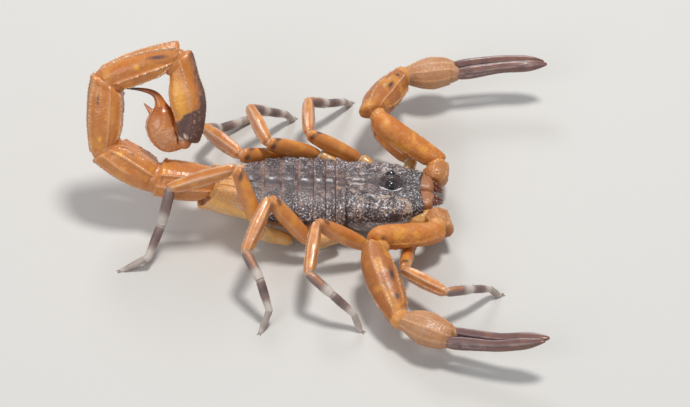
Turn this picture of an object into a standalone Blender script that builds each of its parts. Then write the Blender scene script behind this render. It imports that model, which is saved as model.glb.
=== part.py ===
"""A life-size scorpion, standing with its tail curled over the rear of its trunk.

Plates and limb segments are separate solids, parted by thin cuts. The trunk lies along X with
the head at +X, the animal's left side is +Y, and its feet stand on Z = 0. Sizes are in millimetres
and angles in degrees; to_world() turns the finished meshes into metres.
"""
from math import copysign, cos, pi, radians, sin

import bmesh
import bpy
from mathutils import Matrix, Vector

MM = 0.001
GAP = 0.12            # width of the cut between two neighbouring solids
FLOOR_TO_BELLY = 1.0

# Trunk: (x, half width, height of the widest level, rise above it, drop below it)
TRUNK = [
    (-11.5, 1.75, 3.85, 1.45, 1.85),
    (-10.2, 2.15, 3.70, 1.30, 2.15),
    (-8.6, 2.65, 3.50, 1.25, 2.35),
    (-6.8, 3.45, 3.30, 1.35, 2.30),
    (-5.0, 3.90, 3.15, 1.45, 2.20),
    (-3.2, 3.90, 3.05, 1.45, 2.10),
    (-1.2, 3.75, 3.00, 1.40, 2.00),
    (0.0, 3.80, 2.95, 1.40, 1.95),
    (1.4, 4.05, 2.85, 1.45, 1.90),
    (3.0, 3.80, 2.85, 1.45, 1.90),
    (4.6, 3.30, 2.95, 1.25, 1.90),
    (5.8, 2.75, 3.05, 0.85, 1.90),
    (6.9, 2.05, 3.10, 0.60, 1.90),
]
CARAPACE_X = (-0.10, 6.85)
CARAPACE_FLOOR = 2.15         # underside of the carapace, above the coxae
FRONT_NOTCH = 0.30            # how far the middle of the front edge lies behind its corners
TERGITE_X = (-0.10, -0.80, -1.65, -2.70, -4.00, -5.40, -6.90, -11.45)
TERGITE_STEP = 0.035          # share by which a plate's rear edge stands over the next plate
TRUNK_END_SLANT = 0.65        # how far the trunk's end leans back towards the belly, per mm of height
COXAE_X = (0.05, 6.60)
EYE_X, EYE_Y, EYE_Z, EYE_RADIUS = 3.95, 0.50, 4.42, 0.36

# Tail: (length, angle in the tail's plane, half width, half depth), from the trunk outwards
TAIL_ROOT = Vector((-11.45, 0.0, 4.0))
TAIL_LEAN = 30
TAIL = [
    (4.9, 173, 1.70, 1.60),
    (5.0, 150, 1.55, 1.55),
    (6.2, 87, 1.45, 1.52),
    (6.6, 19, 1.35, 1.32),
    (7.7, -82, 1.38, 1.55),
]
# Sting: (length, angle, radius at its far end) along the bulb, then along the needle
VESICLE = [
    (1.45, 186, 0.78), (1.0, 145, 1.12), (1.1, 118, 1.28),
    (1.05, 108, 1.12), (0.75, 102, 0.72), (0.25, 105, 0.42),
]
ACULEUS = [(0.7, 118, 0.34), (0.75, 146, 0.28), (0.65, 168, 0.22), (0.6, 178, 0.14), (0.35, 184, 0.05)]
TOOTH_LENGTH, TOOTH_ANGLE, TOOTH_RADIUS = 0.45, 152, 0.30

# Pedipalps: lengths, then per side the root and (azimuth, elevation) of each segment
PALP_LENGTHS = (2.5, 7.65, 8.05, 4.8, 4.15, 4.15)
PALP_POSE = {
    "right": ((7.6, -1.9, 2.2), ((-67, 2), (-157, 17), (-70, -15), (-27, -1), (-16, 9), (-8, 14))),
    "left": ((7.6, 1.9, 2.2), ((72, 4), (157, 25), (67, -15), (9, 1), (8, 4), (1, 1))),
}

# Legs: trochanter, femur, patella, tibia and basitarsus lengths; the tarsus reaches the floor
LEG_LENGTHS = {
    1: (1.5, 4.2, 4.7, 2.7, 2.4),
    2: (2.0, 5.15, 5.15, 2.6, 2.5),
    3: (3.0, 5.25, 5.5, 2.7, 2.7),
    4: (3.0, 5.8, 5.9, 3.3, 3.1),
}
LEG_POSE = {
    "right_1": ((5.2, -3.6, 1.2), ((-76, 7), (-99, 17), (-41, 7), (29, -20), (38, -32), (6, -50))),
    "right_2": ((2.9, -3.9, 1.7), ((-124, 10), (-177, 35), (-97, -11), (-35, -24), (-24, -37), (-49, -60))),
    "right_3": ((-0.3, -4.1, 1.6), ((-162, 10), (159, 47), (-111, -16), (-60, -25), (-66, -45), (-123, -47))),
    "right_4": ((-4.5, -4.6, 1.6), ((174, 23), (127, 55), (-173, -17), (-120, -60), (-117, -36), (-168, -27))),
    "left_1": ((5.2, 3.6, 1.7), ((68, 5), (140, 18), (85, -11), (85, -21), (80, -23), (63, -29))),
    "left_2": ((2.9, 3.9, 1.6), ((145, 12), (171, 29), (91, -10), (39, -34), (45, -30), (51, -50))),
    "left_3": ((0.2, 3.95, 1.6), ((156, 18), (-162, 32), (108, -8), (43, -39), (45, -39), (31, -55))),
    "left_4": ((-2.1, 3.9, 1.0), ((147, 11), (-152, 30), (125, -13), (62, -40), (38, -12), (30, -25))),
}
LEG_THICKNESS = {1: 0.90, 2: 0.95, 3: 1.0, 4: 1.05}

ORANGE = ((0.78, 0.33, 0.07, 1.0), 0.42)
YELLOW = ((0.80, 0.47, 0.13, 1.0), 0.40)
TRUNK_BROWN = ((0.075, 0.052, 0.045, 1.0), 0.60)
FOOT_GREY = ((0.36, 0.31, 0.29, 1.0), 0.50)
FINGER_BROWN = ((0.10, 0.062, 0.055, 1.0), 0.38)
STING_RED = ((0.34, 0.09, 0.03, 1.0), 0.30)
EYE_BLACK = ((0.008, 0.008, 0.010, 1.0), 0.08)


def clear_scene():
    for old in list(bpy.data.objects):
        bpy.data.objects.remove(old, do_unlink=True)


def make_collection(name):
    collection = bpy.data.collections.new(name)
    bpy.context.scene.collection.children.link(collection)
    return collection


def make_material(name, look):
    colour, roughness = look
    material = bpy.data.materials.new(name)
    material.use_nodes = True
    shader = material.node_tree.nodes["Principled BSDF"]
    shader.inputs["Base Color"].default_value = colour
    shader.inputs["Roughness"].default_value = roughness
    shader.inputs["Metallic"].default_value = 0.0
    material.diffuse_color = colour
    return material


def add_solid(name, bm, look, collection):
    """Turn a bmesh into an object with outward faces and its own material."""
    bmesh.ops.recalc_face_normals(bm, faces=bm.faces[:])
    mesh = bpy.data.meshes.new(name)
    bm.to_mesh(mesh)
    bm.free()
    mesh.materials.append(make_material(name, look))
    solid = bpy.data.objects.new(name, mesh)
    collection.objects.link(solid)
    return solid


def direction(azimuth, elevation):
    a, e = radians(azimuth), radians(elevation)
    return Vector((cos(a) * cos(e), sin(a) * cos(e), sin(e)))


def squircle(angle, power):
    """A point of the unit super-ellipse at this angle."""
    c, s = cos(angle), sin(angle)
    return (copysign(abs(c) ** (2 / power), c), copysign(abs(s) ** (2 / power), s))


def loft(rings):
    """A closed bmesh through rings of equal numbers of points, each end closed round its centre."""
    bm = bmesh.new()
    loops = [[bm.verts.new(point) for point in ring] for ring in rings]
    count = len(loops[0])
    for near, far in zip(loops, loops[1:]):
        for i in range(count):
            j = (i + 1) % count
            bm.faces.new((near[i], near[j], far[j], far[i]))
    for loop in (loops[0], loops[-1]):
        middle = bm.verts.new(sum((v.co for v in loop), Vector()) / count)
        for i in range(count):
            bm.faces.new((loop[i], loop[(i + 1) % count], middle))
    return bm


def frame_of(along, up):
    side = up.cross(along).normalized()
    return side, along.cross(side).normalized()


def mitred_ring(centre, along, plane, up, half_width, half_depth, sides, power, overhang=0.45):
    """Points round a centre, slid along the segment onto the joint's plane.

    Past the centre they go no further than a share of the radius, so a sharp bend keeps a round
    outer corner. The sign of plane . along tells the end: +1 is the far end, -1 the near one.
    """
    side, rise = frame_of(along, up)
    far_end = plane.dot(along) > 0
    points = []
    for k in range(sides):
        a, b = squircle(2 * pi * k / sides, power)
        offset = side * (a * half_width) + rise * (b * half_depth)
        slide = -offset.dot(plane) / along.dot(plane)
        limit = overhang * offset.length
        slide = min(slide, limit) if far_end else max(slide, -limit)
        points.append(centre + offset + along * slide)
    return points


def chain_points(root, steps, lengths):
    points = [Vector(root)]
    for step, length in zip(steps, lengths):
        points.append(points[-1] + step * length)
    return points


def joint_plane(before, after):
    return (before + after).normalized()


def segment(start, end, planes, profile, up, sides, power, slim=(0.86, 0.86)):
    """The rings of one straight limb segment between two joints.

    planes holds the joint planes' normals (None for a free end), and profile the shares of the
    length with their half width and half depth.
    """
    along = (end - start).normalized()
    near_plane = -(planes[0] or along)
    far_plane = planes[1] or along
    first, last = profile[0], profile[-1]
    near_centre = start + along * (GAP / 2 / abs(near_plane.dot(along)))
    far_centre = end - along * (GAP / 2 / abs(far_plane.dot(along)))
    near, far = slim
    rings = [mitred_ring(near_centre, along, near_plane, up, first[1] * near, first[2] * near, sides, power)]
    for share, half_width, half_depth in profile:
        middle = start.lerp(end, share)
        rings.append(mitred_ring(middle, along, along, up, half_width, half_depth, sides, power))
    rings.append(mitred_ring(far_centre, along, far_plane, up, last[1] * far, last[2] * far, sides, power))
    return rings


def bend_room(turn, radius, length):
    """The share of a segment's length that its first full ring stays from a bent joint."""
    half_turn = turn / 2
    needed = radius * sin(half_turn) / max(cos(half_turn), 0.2)
    return (needed + 0.25) / length


# Trunk

def trunk_at(x):
    """The trunk's section at x, blended smoothly between the stations of TRUNK."""
    for here, ahead in zip(TRUNK, TRUNK[1:]):
        if x <= ahead[0]:
            break
    t = min(max((x - here[0]) / (ahead[0] - here[0]), 0.0), 1.0)
    return [a + (b - a) * t for a, b in zip(here[1:], ahead[1:])]


def trunk_ring(x, sides=22, swell=1.0, floor=None, notch=0.0, slant=0.0):
    half_width, level, rise, drop = trunk_at(x)
    points = []
    for k in range(sides):
        a, b = squircle(2 * pi * k / sides, 2.25)
        height = rise * swell * b if b > 0 else drop * b
        z = level + height
        if floor is not None:
            z = max(z, floor)
        lean = slant * (z - TAIL_ROOT.z) - notch * (1 - a * a)
        points.append(Vector((x + lean, a * half_width * swell, z)))
    return points


def build_carapace(parts, cutters):
    rear, front = CARAPACE_X
    stations = (0.0, 0.07, 0.2, 0.36, 0.52, 0.68, 0.82, 0.93, 1.0)
    rings = []
    for share in stations:
        x = rear + GAP + (front - rear - GAP) * share
        swell = 0.97 if share in (0.0, 1.0) else 1.0
        rings.append(trunk_ring(x, 24, swell, CARAPACE_FLOOR, FRONT_NOTCH * share ** 6))
    carapace = add_solid("carapace", loft(rings), TRUNK_BROWN, parts)
    mound = ball("eye_mound", (EYE_X, 0.0, EYE_Z - 0.16), (0.95, 0.62, 0.46), cutters)
    add_boolean(carapace, mound, "UNION")
    for side, sign in (("right", -1), ("left", 1)):
        centre = (EYE_X, sign * EYE_Y, EYE_Z)
        socket = ball("eye_socket_" + side, centre, (EYE_RADIUS + 0.04,) * 3, cutters)
        add_boolean(carapace, socket, "DIFFERENCE")
        eye = bmesh.new()
        bmesh.ops.create_uvsphere(eye, u_segments=14, v_segments=9, radius=EYE_RADIUS)
        bmesh.ops.translate(eye, verts=eye.verts[:], vec=centre)
        add_solid("eye_median_" + side, eye, EYE_BLACK, parts)


def ball(name, centre, radii, collection):
    bm = bmesh.new()
    bmesh.ops.create_uvsphere(bm, u_segments=16, v_segments=10, radius=1.0)
    bmesh.ops.scale(bm, verts=bm.verts[:], vec=radii)
    bmesh.ops.translate(bm, verts=bm.verts[:], vec=centre)
    tool = add_solid(name, bm, EYE_BLACK, collection)
    tool.hide_render = True
    tool.display_type = "WIRE"
    return tool


def add_boolean(solid, tool, operation):
    modifier = solid.modifiers.new(tool.name, "BOOLEAN")
    modifier.operation = operation
    modifier.object = tool


def build_mesosoma(parts):
    for number, (front, rear) in enumerate(zip(TERGITE_X, TERGITE_X[1:]), start=1):
        front_x, rear_x = front - GAP / 2, rear + GAP / 2
        shares = (0.0, 0.35, 0.8, 1.0) if number < 7 else (0.0, 0.18, 0.4, 0.62, 0.82, 1.0)
        rings = []
        for share in shares:
            swell = 1.0 + TERGITE_STEP * (share - 0.5) if number < 7 else 1.0
            slant = TRUNK_END_SLANT * share ** 2 if number == 7 else 0.0
            rings.append(trunk_ring(front_x + (rear_x - front_x) * share, swell=swell, slant=slant))
        add_solid(f"mesosoma_{number}", loft(rings), TRUNK_BROWN, parts)


def build_coxae(parts):
    """The plate of leg bases and breastbone under the carapace."""
    rear, front = COXAE_X
    rings = []
    for share in (0.0, 0.06, 0.3, 0.55, 0.8, 0.95, 1.0):
        x = rear + (front - rear) * share
        half_width = 3.1 - 1.5 * share ** 2 - (0.12 if share in (0.0, 1.0) else 0.0)
        top, bottom = CARAPACE_FLOOR - GAP, FLOOR_TO_BELLY + 0.35 * share ** 2
        rings.append([
            Vector((x, a * half_width, (top + bottom) / 2 + b * (top - bottom) / 2))
            for a, b in (squircle(2 * pi * k / 16, 3.2) for k in range(16))
        ])
    add_solid("coxae_plate", loft(rings), YELLOW, parts)


def build_pectines(parts):
    """The two comb organs, flat against the belly behind the leg bases."""
    for side, sign in (("right", -1), ("left", 1)):
        root = Vector((-0.6, sign * 0.5, 0.68))
        tip = Vector((-3.9, sign * 2.6, 0.70))
        along = (tip - root).normalized()
        profile = ((0.06, 0.42, 0.22), (0.45, 0.55, 0.22), (0.9, 0.34, 0.22))
        rings = segment(root, tip, (None, None), profile, Vector((0, 0, 1)), 10, 3.0)
        add_solid("pecten_" + side, loft(rings), YELLOW, parts)


def build_chelicerae(parts):
    for side, sign in (("right", -1), ("left", 1)):
        root = Vector((7.0, sign * 0.90, 3.15))
        tip = Vector((8.75, sign * 0.66, 2.95))
        profile = (
            (0.08, 0.62, 0.66), (0.35, 0.74, 0.80), (0.62, 0.66, 0.66),
            (0.82, 0.40, 0.36), (0.95, 0.22, 0.20),
        )
        rings = segment(root, tip, (None, None), profile, Vector((0, 0, 1)), 12, 2.4)
        add_solid("chelicera_" + side, loft(rings), ORANGE, parts)


# Tail

def tail_direction(angle):
    a, lean = radians(angle), radians(TAIL_LEAN)
    return Vector((cos(a), sin(a) * sin(lean), sin(a) * cos(lean)))


def build_tail(parts):
    steps = [tail_direction(angle) for _, angle, _, _ in TAIL]
    points = chain_points(TAIL_ROOT, steps, [row[0] for row in TAIL])
    sting_start = tail_direction(VESICLE[0][1])
    for i, (length, angle, half_width, half_depth) in enumerate(TAIL):
        before = joint_plane(steps[i - 1], steps[i]) if i else Vector((-1, 0, TRUNK_END_SLANT)).normalized()
        after = joint_plane(steps[i], steps[i + 1] if i < 4 else sting_start)
        inside = tail_direction(angle - 90)
        turn_in = steps[i - 1].angle(steps[i]) if i else radians(50)
        turn_out = steps[i].angle(steps[i + 1] if i < 4 else sting_start)
        start = bend_room(turn_in, half_depth, length)
        stop = 1 - bend_room(turn_out, half_depth, length)
        profile = [
            (start, half_width * 0.90, half_depth * 0.90),
            (start + (stop - start) * 0.25, half_width * 0.98, half_depth * 0.98),
            (start + (stop - start) * 0.65, half_width, half_depth),
            (stop, half_width * 0.96, half_depth * 0.97),
        ]
        if i == 4:
            profile = [
                (start, half_width * 0.84, half_depth * 0.80),
                (start + (stop - start) * 0.3, half_width, half_depth * 0.98),
                (start + (stop - start) * 0.6, half_width, half_depth),
                (stop, half_width * 0.86, half_depth * 0.84),
            ]
        rings = segment(points[i], points[i + 1], (before, after), profile, inside, 16, 2.9, (0.84, 0.86))
        add_solid(f"metasoma_{i + 1}", loft(rings), ORANGE, parts)
    build_telson(points[-1], joint_plane(steps[-1], sting_start), parts)


def tube(points, radii, up, sides, power, first_plane=None):
    """Rings along a bent path, each square to the mean of the two runs that meet there."""
    runs = [(b - a).normalized() for a, b in zip(points, points[1:])]
    rings = []
    for i, (point, radius) in enumerate(zip(points, radii)):
        before = runs[max(i - 1, 0)]
        after = runs[min(i, len(runs) - 1)]
        along = joint_plane(before, after)
        width, depth = radius if isinstance(radius, tuple) else (radius, radius)
        plane = along
        if i == 0 and first_plane is not None:
            along, plane = after, -first_plane
        rings.append(mitred_ring(point, along, plane, up, width, depth, sides, power))
    return rings


def build_telson(root, plane, parts):
    across = tail_direction(0).cross(tail_direction(90))
    steps = [tail_direction(angle) for _, angle, _ in VESICLE]
    points = chain_points(root + plane * (GAP / 2), steps, [row[0] for row in VESICLE])
    radii = [0.62] + [row[2] for row in VESICLE]
    sizes = [(radius * 1.02, radius * 0.94) for radius in radii]
    rings = tube(points, sizes, across, 16, 2.1, plane)
    vesicle = loft(rings)
    tooth_root = points[4]
    tooth_tip = tooth_root + tail_direction(TOOTH_ANGLE) * (TOOTH_LENGTH + radii[4])
    tooth_path = [tooth_root, tooth_root.lerp(tooth_tip, 0.6), tooth_tip]
    tooth = loft(tube(tooth_path, (TOOTH_RADIUS * 1.5, TOOTH_RADIUS, 0.07), across, 10, 2.0))
    solid = add_solid("telson_vesicle", vesicle, ORANGE, parts)
    cutters = bpy.data.collections["scorpion_cutters"]
    spur = add_solid("telson_tooth", tooth, ORANGE, cutters)
    spur.hide_render = True
    spur.display_type = "WIRE"
    add_boolean(solid, spur, "UNION")

    needle_steps = [tail_direction(angle) for _, angle, _ in ACULEUS]
    needle_root = points[-1] + steps[-1] * GAP
    needle = chain_points(needle_root, needle_steps, [row[0] for row in ACULEUS])
    needle_radii = [0.40] + [row[2] for row in ACULEUS]
    add_solid("telson_aculeus", loft(tube(needle, needle_radii, across, 10, 2.0)), STING_RED, parts)


# Pedipalps

def build_pedipalp(side, parts):
    root, pose = PALP_POSE[side]
    steps = [direction(*angles) for angles in pose]
    points = chain_points(root, steps, PALP_LENGTHS)
    planes = [None] + [joint_plane(a, b) for a, b in zip(steps, steps[1:])]
    turns = [0.0] + [a.angle(b) for a, b in zip(steps, steps[1:])]
    up = Vector((0, 0, 1))
    name = f"pedipalp_{side}_"

    def rings_of(i, sizes, sides, power, slim=(0.84, 0.84)):
        """Rings of segment i, from (share, half width, half depth) rows between its two bends."""
        start = bend_room(turns[i], sizes[0][1], PALP_LENGTHS[i])
        stop = 1 - bend_room(turns[i + 1], sizes[-1][1], PALP_LENGTHS[i])
        profile = [(start + (stop - start) * share, a, b) for share, a, b in sizes]
        return segment(points[i], points[i + 1], (planes[i], planes[i + 1]), profile, up, sides, power, slim)

    trochanter = ((0.0, 0.95, 1.05), (0.5, 1.15, 1.20), (1.0, 1.05, 1.1))
    add_solid(name + "trochanter", loft(rings_of(0, trochanter, 12, 2.4)), ORANGE, parts)
    femur = ((0.0, 0.92, 0.88), (0.3, 1.02, 0.95), (0.75, 1.05, 1.0), (1.0, 1.0, 0.98))
    add_solid(name + "femur", loft(rings_of(1, femur, 12, 3.0)), ORANGE, parts)
    patella = (
        (0.0, 1.05, 0.95), (0.22, 1.38, 1.15), (0.55, 1.42, 1.2), (0.85, 1.22, 1.1), (1.0, 1.0, 0.98),
    )
    add_solid(name + "patella", loft(rings_of(2, patella, 12, 2.8)), ORANGE, parts)
    build_chela(name, points, steps, planes, turns, parts, 1 if side == "left" else -1)


def build_chela(name, points, steps, planes, turns, parts, outer):
    """The hand with its fixed finger, and the movable finger on the hand's outer side."""
    up = Vector((0, 0, 1))
    hand_end, knuckle, tip = points[4], points[5], points[6]
    along = steps[3]
    outward, _ = frame_of(along, up)
    outward = outward if outward.y * outer > 0 else -outward
    split = outward * 0.50
    palm = ((0.0, 0.85, 0.85), (0.25, 1.25, 1.2), (0.5, 1.48, 1.38), (0.8, 1.30, 1.22), (1.0, 1.06, 1.0))
    start = bend_room(turns[3], 0.85, PALP_LENGTHS[3])
    profile = [(start + (0.97 - start) * share, a, b) for share, a, b in palm]
    rings = segment(points[3], hand_end, (planes[3], None), profile, up, 14, 2.3, (0.86, 1.0))[:-1]
    fixed_path = [hand_end - split * 1.0 + along * 0.25, hand_end.lerp(knuckle, 0.45) - split,
                  knuckle - split * 0.9, knuckle.lerp(tip, 0.6) - split * 0.7, tip - split * 0.35]
    fixed_sizes = [(0.44, 0.80), (0.43, 0.66), (0.40, 0.55), (0.34, 0.42), (0.10, 0.12)]
    rings += tube(fixed_path, fixed_sizes, up, 14, 2.4)
    add_solid(name + "hand", loft(rings), ORANGE, parts)
    free_path = [hand_end + split + along * 0.32, hand_end.lerp(knuckle, 0.45) + split,
                 knuckle + split * 0.9, knuckle.lerp(tip, 0.6) + split * 0.7, tip + split * 0.35 - steps[5] * 0.2]
    free_sizes = [(0.40, 0.78), (0.43, 0.66), (0.40, 0.55), (0.34, 0.42), (0.10, 0.12)]
    finger = loft(tube(free_path, [(a - GAP / 2, b) for a, b in free_sizes], up, 12, 2.4))
    add_solid(name + "movable_finger", finger, FINGER_BROWN, parts)


# Legs

def build_leg(key, parts):
    side, number = key.split("_")
    root, pose = LEG_POSE[key]
    lengths = list(LEG_LENGTHS[int(number)])
    scale = LEG_THICKNESS[int(number)]
    steps = [direction(*angles) for angles in pose]
    points = chain_points(root, steps, lengths)
    points.append(points[-1] + steps[5] * (points[-1].z / -steps[5].z))
    up = Vector((0, 0, 1))
    name = f"leg_{side}_{number}_"
    knee = joint_plane(steps[1], steps[2])
    heel = joint_plane(steps[2], steps[3])

    trochanter = ((0.15, 0.52 * scale, 0.62 * scale),)
    thigh = segment(points[0], points[1], (None, None), trochanter, up, 10, 2.4)[:-1]
    bend = joint_plane(steps[0], steps[1])
    thigh.append(mitred_ring(points[1], bend, bend, up, 0.50 * scale, 0.66 * scale, 10, 2.4))
    stop = 1 - bend_room(steps[1].angle(steps[2]), 0.70 * scale, lengths[1])
    femur = (
        (0.22, 0.50 * scale, 0.76 * scale), (0.6, 0.52 * scale, 0.80 * scale), (stop, 0.50 * scale, 0.72 * scale),
    )
    thigh += segment(points[1], points[2], (None, knee), femur, up, 10, 2.4)[1:]
    add_solid(name + "thigh", loft(thigh), ORANGE, parts)

    start = bend_room(steps[1].angle(steps[2]), 0.60 * scale, lengths[2])
    stop = 1 - bend_room(steps[2].angle(steps[3]), 0.5 * scale, lengths[2])
    patella = (
        (start, 0.50 * scale, 0.62 * scale), (0.5, 0.55 * scale, 0.82 * scale), (stop, 0.48 * scale, 0.58 * scale),
    )
    rings = segment(points[2], points[3], (knee, heel), patella, up, 10, 2.6)
    add_solid(name + "patella", loft(rings), ORANGE, parts)
    build_foot(name, points[3:], steps[3:], heel, scale, parts)


def build_foot(name, points, steps, heel, scale, parts):
    """Tibia, basitarsus and tarsus in one solid that ends in a flat sole on the floor."""
    up = Vector((0, 0, 1))
    ankle, toe_joint, sole = points[1], points[2], points[3]
    start = bend_room(0.9, 0.46 * scale, (ankle - points[0]).length)
    tibia = ((start, 0.46 * scale, 0.50 * scale), (0.8, 0.46 * scale, 0.50 * scale))
    rings = segment(points[0], ankle, (heel, None), tibia, up, 8, 2.2)[:-1]
    bends = ((ankle, steps[0], steps[1], 0.41), (toe_joint, steps[1], steps[2], 0.35))
    for joint, before, after, radius in bends:
        bend = joint_plane(before, after)
        rings.append(mitred_ring(joint, bend, bend, up, radius * scale, radius * scale, 8, 2.0))
        if joint is ankle:
            middle = ankle.lerp(toe_joint, 0.5)
            rings.append(mitred_ring(middle, after, after, up, 0.40 * scale, 0.42 * scale, 8, 2.0))
    down = Vector((0, 0, -1))
    rings.append(mitred_ring(toe_joint.lerp(sole, 0.6), steps[2], steps[2], up, 0.31, 0.32, 8, 2.0))
    rings.append(mitred_ring(sole, steps[2], down, up, 0.24, 0.24, 8, 2.0, 1.6))
    for ring in rings:
        for point in ring:
            point.z = max(point.z, 0.0)
    add_solid(name + "foot", loft(rings), FOOT_GREY, parts)


def to_world(collections):
    """Scale to metres and set the origin at the middle of the footprint, on the floor."""
    points = [v.co for solid in collections[0].objects for v in solid.data.vertices]
    middle_x = (min(p.x for p in points) + max(p.x for p in points)) / 2
    middle_y = (min(p.y for p in points) + max(p.y for p in points)) / 2
    placing = Matrix.Scale(MM, 4) @ Matrix.Translation((-middle_x, -middle_y, 0))
    for collection in collections:
        for solid in collection.objects:
            solid.data.transform(placing)


def main():
    clear_scene()
    parts = make_collection("scorpion")
    cutters = make_collection("scorpion_cutters")
    build_carapace(parts, cutters)
    build_mesosoma(parts)
    build_coxae(parts)
    build_pectines(parts)
    build_chelicerae(parts)
    build_tail(parts)
    for side in PALP_POSE:
        build_pedipalp(side, parts)
    for key in LEG_POSE:
        build_leg(key, parts)
    to_world((parts, cutters))


main()
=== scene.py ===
import math
import bpy
import numpy as np
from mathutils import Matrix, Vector
from mathutils.bvhtree import BVHTree


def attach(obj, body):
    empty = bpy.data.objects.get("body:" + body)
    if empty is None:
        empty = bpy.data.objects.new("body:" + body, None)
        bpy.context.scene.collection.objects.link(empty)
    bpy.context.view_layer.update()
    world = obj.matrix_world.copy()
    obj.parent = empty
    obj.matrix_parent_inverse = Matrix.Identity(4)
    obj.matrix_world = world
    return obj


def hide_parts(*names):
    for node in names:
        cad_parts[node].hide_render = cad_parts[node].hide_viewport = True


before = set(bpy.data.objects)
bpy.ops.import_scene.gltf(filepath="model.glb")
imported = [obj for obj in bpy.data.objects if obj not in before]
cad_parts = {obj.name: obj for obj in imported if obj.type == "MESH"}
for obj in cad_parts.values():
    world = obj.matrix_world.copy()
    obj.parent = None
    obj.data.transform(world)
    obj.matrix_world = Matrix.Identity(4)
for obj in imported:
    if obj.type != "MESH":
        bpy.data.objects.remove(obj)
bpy.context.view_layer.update()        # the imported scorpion: one still body called root
mm = 0.001               # sizes below are millimetres, meshes are metres
xAxis, yAxis, zAxis = np.eye(3)
sides = dict(right=-1, left=1)
stations = 36            # sections measured along each node
linePoints, roundPoints = 240, 96     # points along the bulb and sting, and round them


def unit(v):
    v = np.asarray(v, float)
    return v / np.maximum(np.linalg.norm(v, axis=-1, keepdims=True), 1e-12)


def step(x, low, high):       # eases from 0 at low to 1 at high
    t = np.clip((np.asarray(x, float) - low) / (high - low), 0, 1)
    return t * t * (3 - 2 * t)


def hump(x, centre, width):   # a soft bell
    return np.exp(-((x - centre) / width) ** 2)


def spot(x, y):               # a soft round spot, from offsets divided by its size
    return np.exp(-x ** 2 - y ** 2)


def within(t, *ends):         # eases in over the first two shares and out over the last two
    return step(t, *ends[:2]) * step(1 - t, *ends[2:])


def turn(angle, centre):      # shortest way round between two angles, in degrees
    return (angle - centre + 180) % 360 - 180


def cellRandom(cells, seed):  # a steady number from 0 to 1 for each cell of a grid
    c = cells.astype(np.int64)
    n = (c[..., 0] * 73856093) ^ (c[..., 1] * 19349663) ^ (seed * 83492791 + 12345)
    if cells.shape[-1] > 2:
        n = n ^ (c[..., 2] * 39916801)
    n = ((n ^ (n >> 13)) * 1274126177) & 0x7FFFFFFF
    n = ((n ^ (n >> 15)) * 668265263) & 0x7FFFFFFF
    return (n ^ (n >> 11)) % 65521 / 65521.0


def cloud(points, size, seed=0):      # smooth noise from 0 to 1 in blobs of this size
    p = np.asarray(points, float) / size
    base = np.floor(p)
    f = p - base
    f = f * f * (3 - 2 * f)
    total = 0
    for corner in np.ndindex(*(2,) * p.shape[-1]):
        weight = 1
        for axis, high in enumerate(corner):
            weight *= f[..., axis] if high else 1 - f[..., axis]
        total += weight * cellRandom(base + np.array(corner), seed)
    return total


def pebbles(points, size, seed=0, spread=0.8):   # rounded grains on a flat sheet, 1 at each top
    p = np.asarray(points, float) / size
    base = np.floor(p)
    best = np.zeros(p.shape[:-1])
    for dx in (-1, 0, 1):
        for dy in (-1, 0, 1):
            cell = base + np.array((dx, dy))
            middle = np.stack([cellRandom(cell, seed), cellRandom(cell, seed + 7)], -1)
            radius = 0.34 + 0.24 * cellRandom(cell, seed + 13)
            away = np.linalg.norm(p - cell - 0.5 - (middle - 0.5) * spread, axis=-1)
            best = np.maximum(best, 1 - (away / radius) ** 2)
    return best


def pointGrid(*coords):       # points from coordinates of different shapes
    return np.stack(np.broadcast_arrays(*coords), -1)


def blur(values, reach, axis, closed=False):
    n = max(1, int(3 * reach))
    weights = np.exp(-0.5 * (np.arange(-n, n + 1) / max(reach, 1e-6)) ** 2)
    padding = [(0, 0)] * values.ndim
    padding[axis] = (n, n)
    padded = np.pad(values, padding, mode="wrap" if closed else "edge")
    return np.apply_along_axis(lambda v: np.convolve(v, weights / weights.sum(), "valid"), axis, padded)


def nodeFaces(name):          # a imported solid's corners in millimetres, and its triangles
    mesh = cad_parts[name].data
    corners = np.empty(len(mesh.vertices) * 3)
    mesh.vertices.foreach_get("co", corners)
    mesh.calc_loop_triangles()
    faces = np.empty(len(mesh.loop_triangles) * 3, int)
    mesh.loop_triangles.foreach_get("vertices", faces)
    return corners.reshape(-1, 3) / mm, faces.reshape(-1, 3)


solids = {name: nodeFaces(name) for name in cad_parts}
trees = {name: BVHTree.FromPolygons(c.tolist(), f.tolist()) for name, (c, f) in solids.items()}


def boxOf(name):
    corners = solids[name][0]
    return corners.min(0), corners.max(0)


def flatEnd(name, target):
    # middle and outward direction of the flat end that faces a node or point
    corners, faces = solids[name]
    tri = corners[faces]
    cross = np.cross(tri[:, 1] - tri[:, 0], tri[:, 2] - tri[:, 0])
    area = np.linalg.norm(cross, axis=1)
    facing = cross / np.maximum(area, 1e-9)[:, None]
    middles = tri.mean(1)
    if isinstance(target, str):
        away = np.array([trees[target].find_nearest(Vector(m))[3] for m in middles])
    else:
        away = np.linalg.norm(middles - np.asarray(target), axis=1)
        for k in np.flatnonzero(away < away.min() + 1.3):      # a cap has more corners than a side facet
            flat = (facing @ facing[k] > 0.995) & (np.abs((middles - middles[k]) @ facing[k]) < 0.03)
            away[k] -= min(flat.sum(), 12)
    seed = np.argmin(np.where(area > 0.02, away, 1e3))
    same = (facing @ facing[seed] > 0.97) & (np.abs((middles - middles[seed]) @ facing[seed]) < 0.06)
    weight = area * same
    return (middles * weight[:, None]).sum(0) / weight.sum(), unit(facing[seed])


def farTip(name, start):      # the corner farthest from a point, with no direction
    corners = solids[name][0]
    away = np.linalg.norm(corners - start, axis=1)
    return corners[away > away.max() - 0.05].mean(0), None


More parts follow.
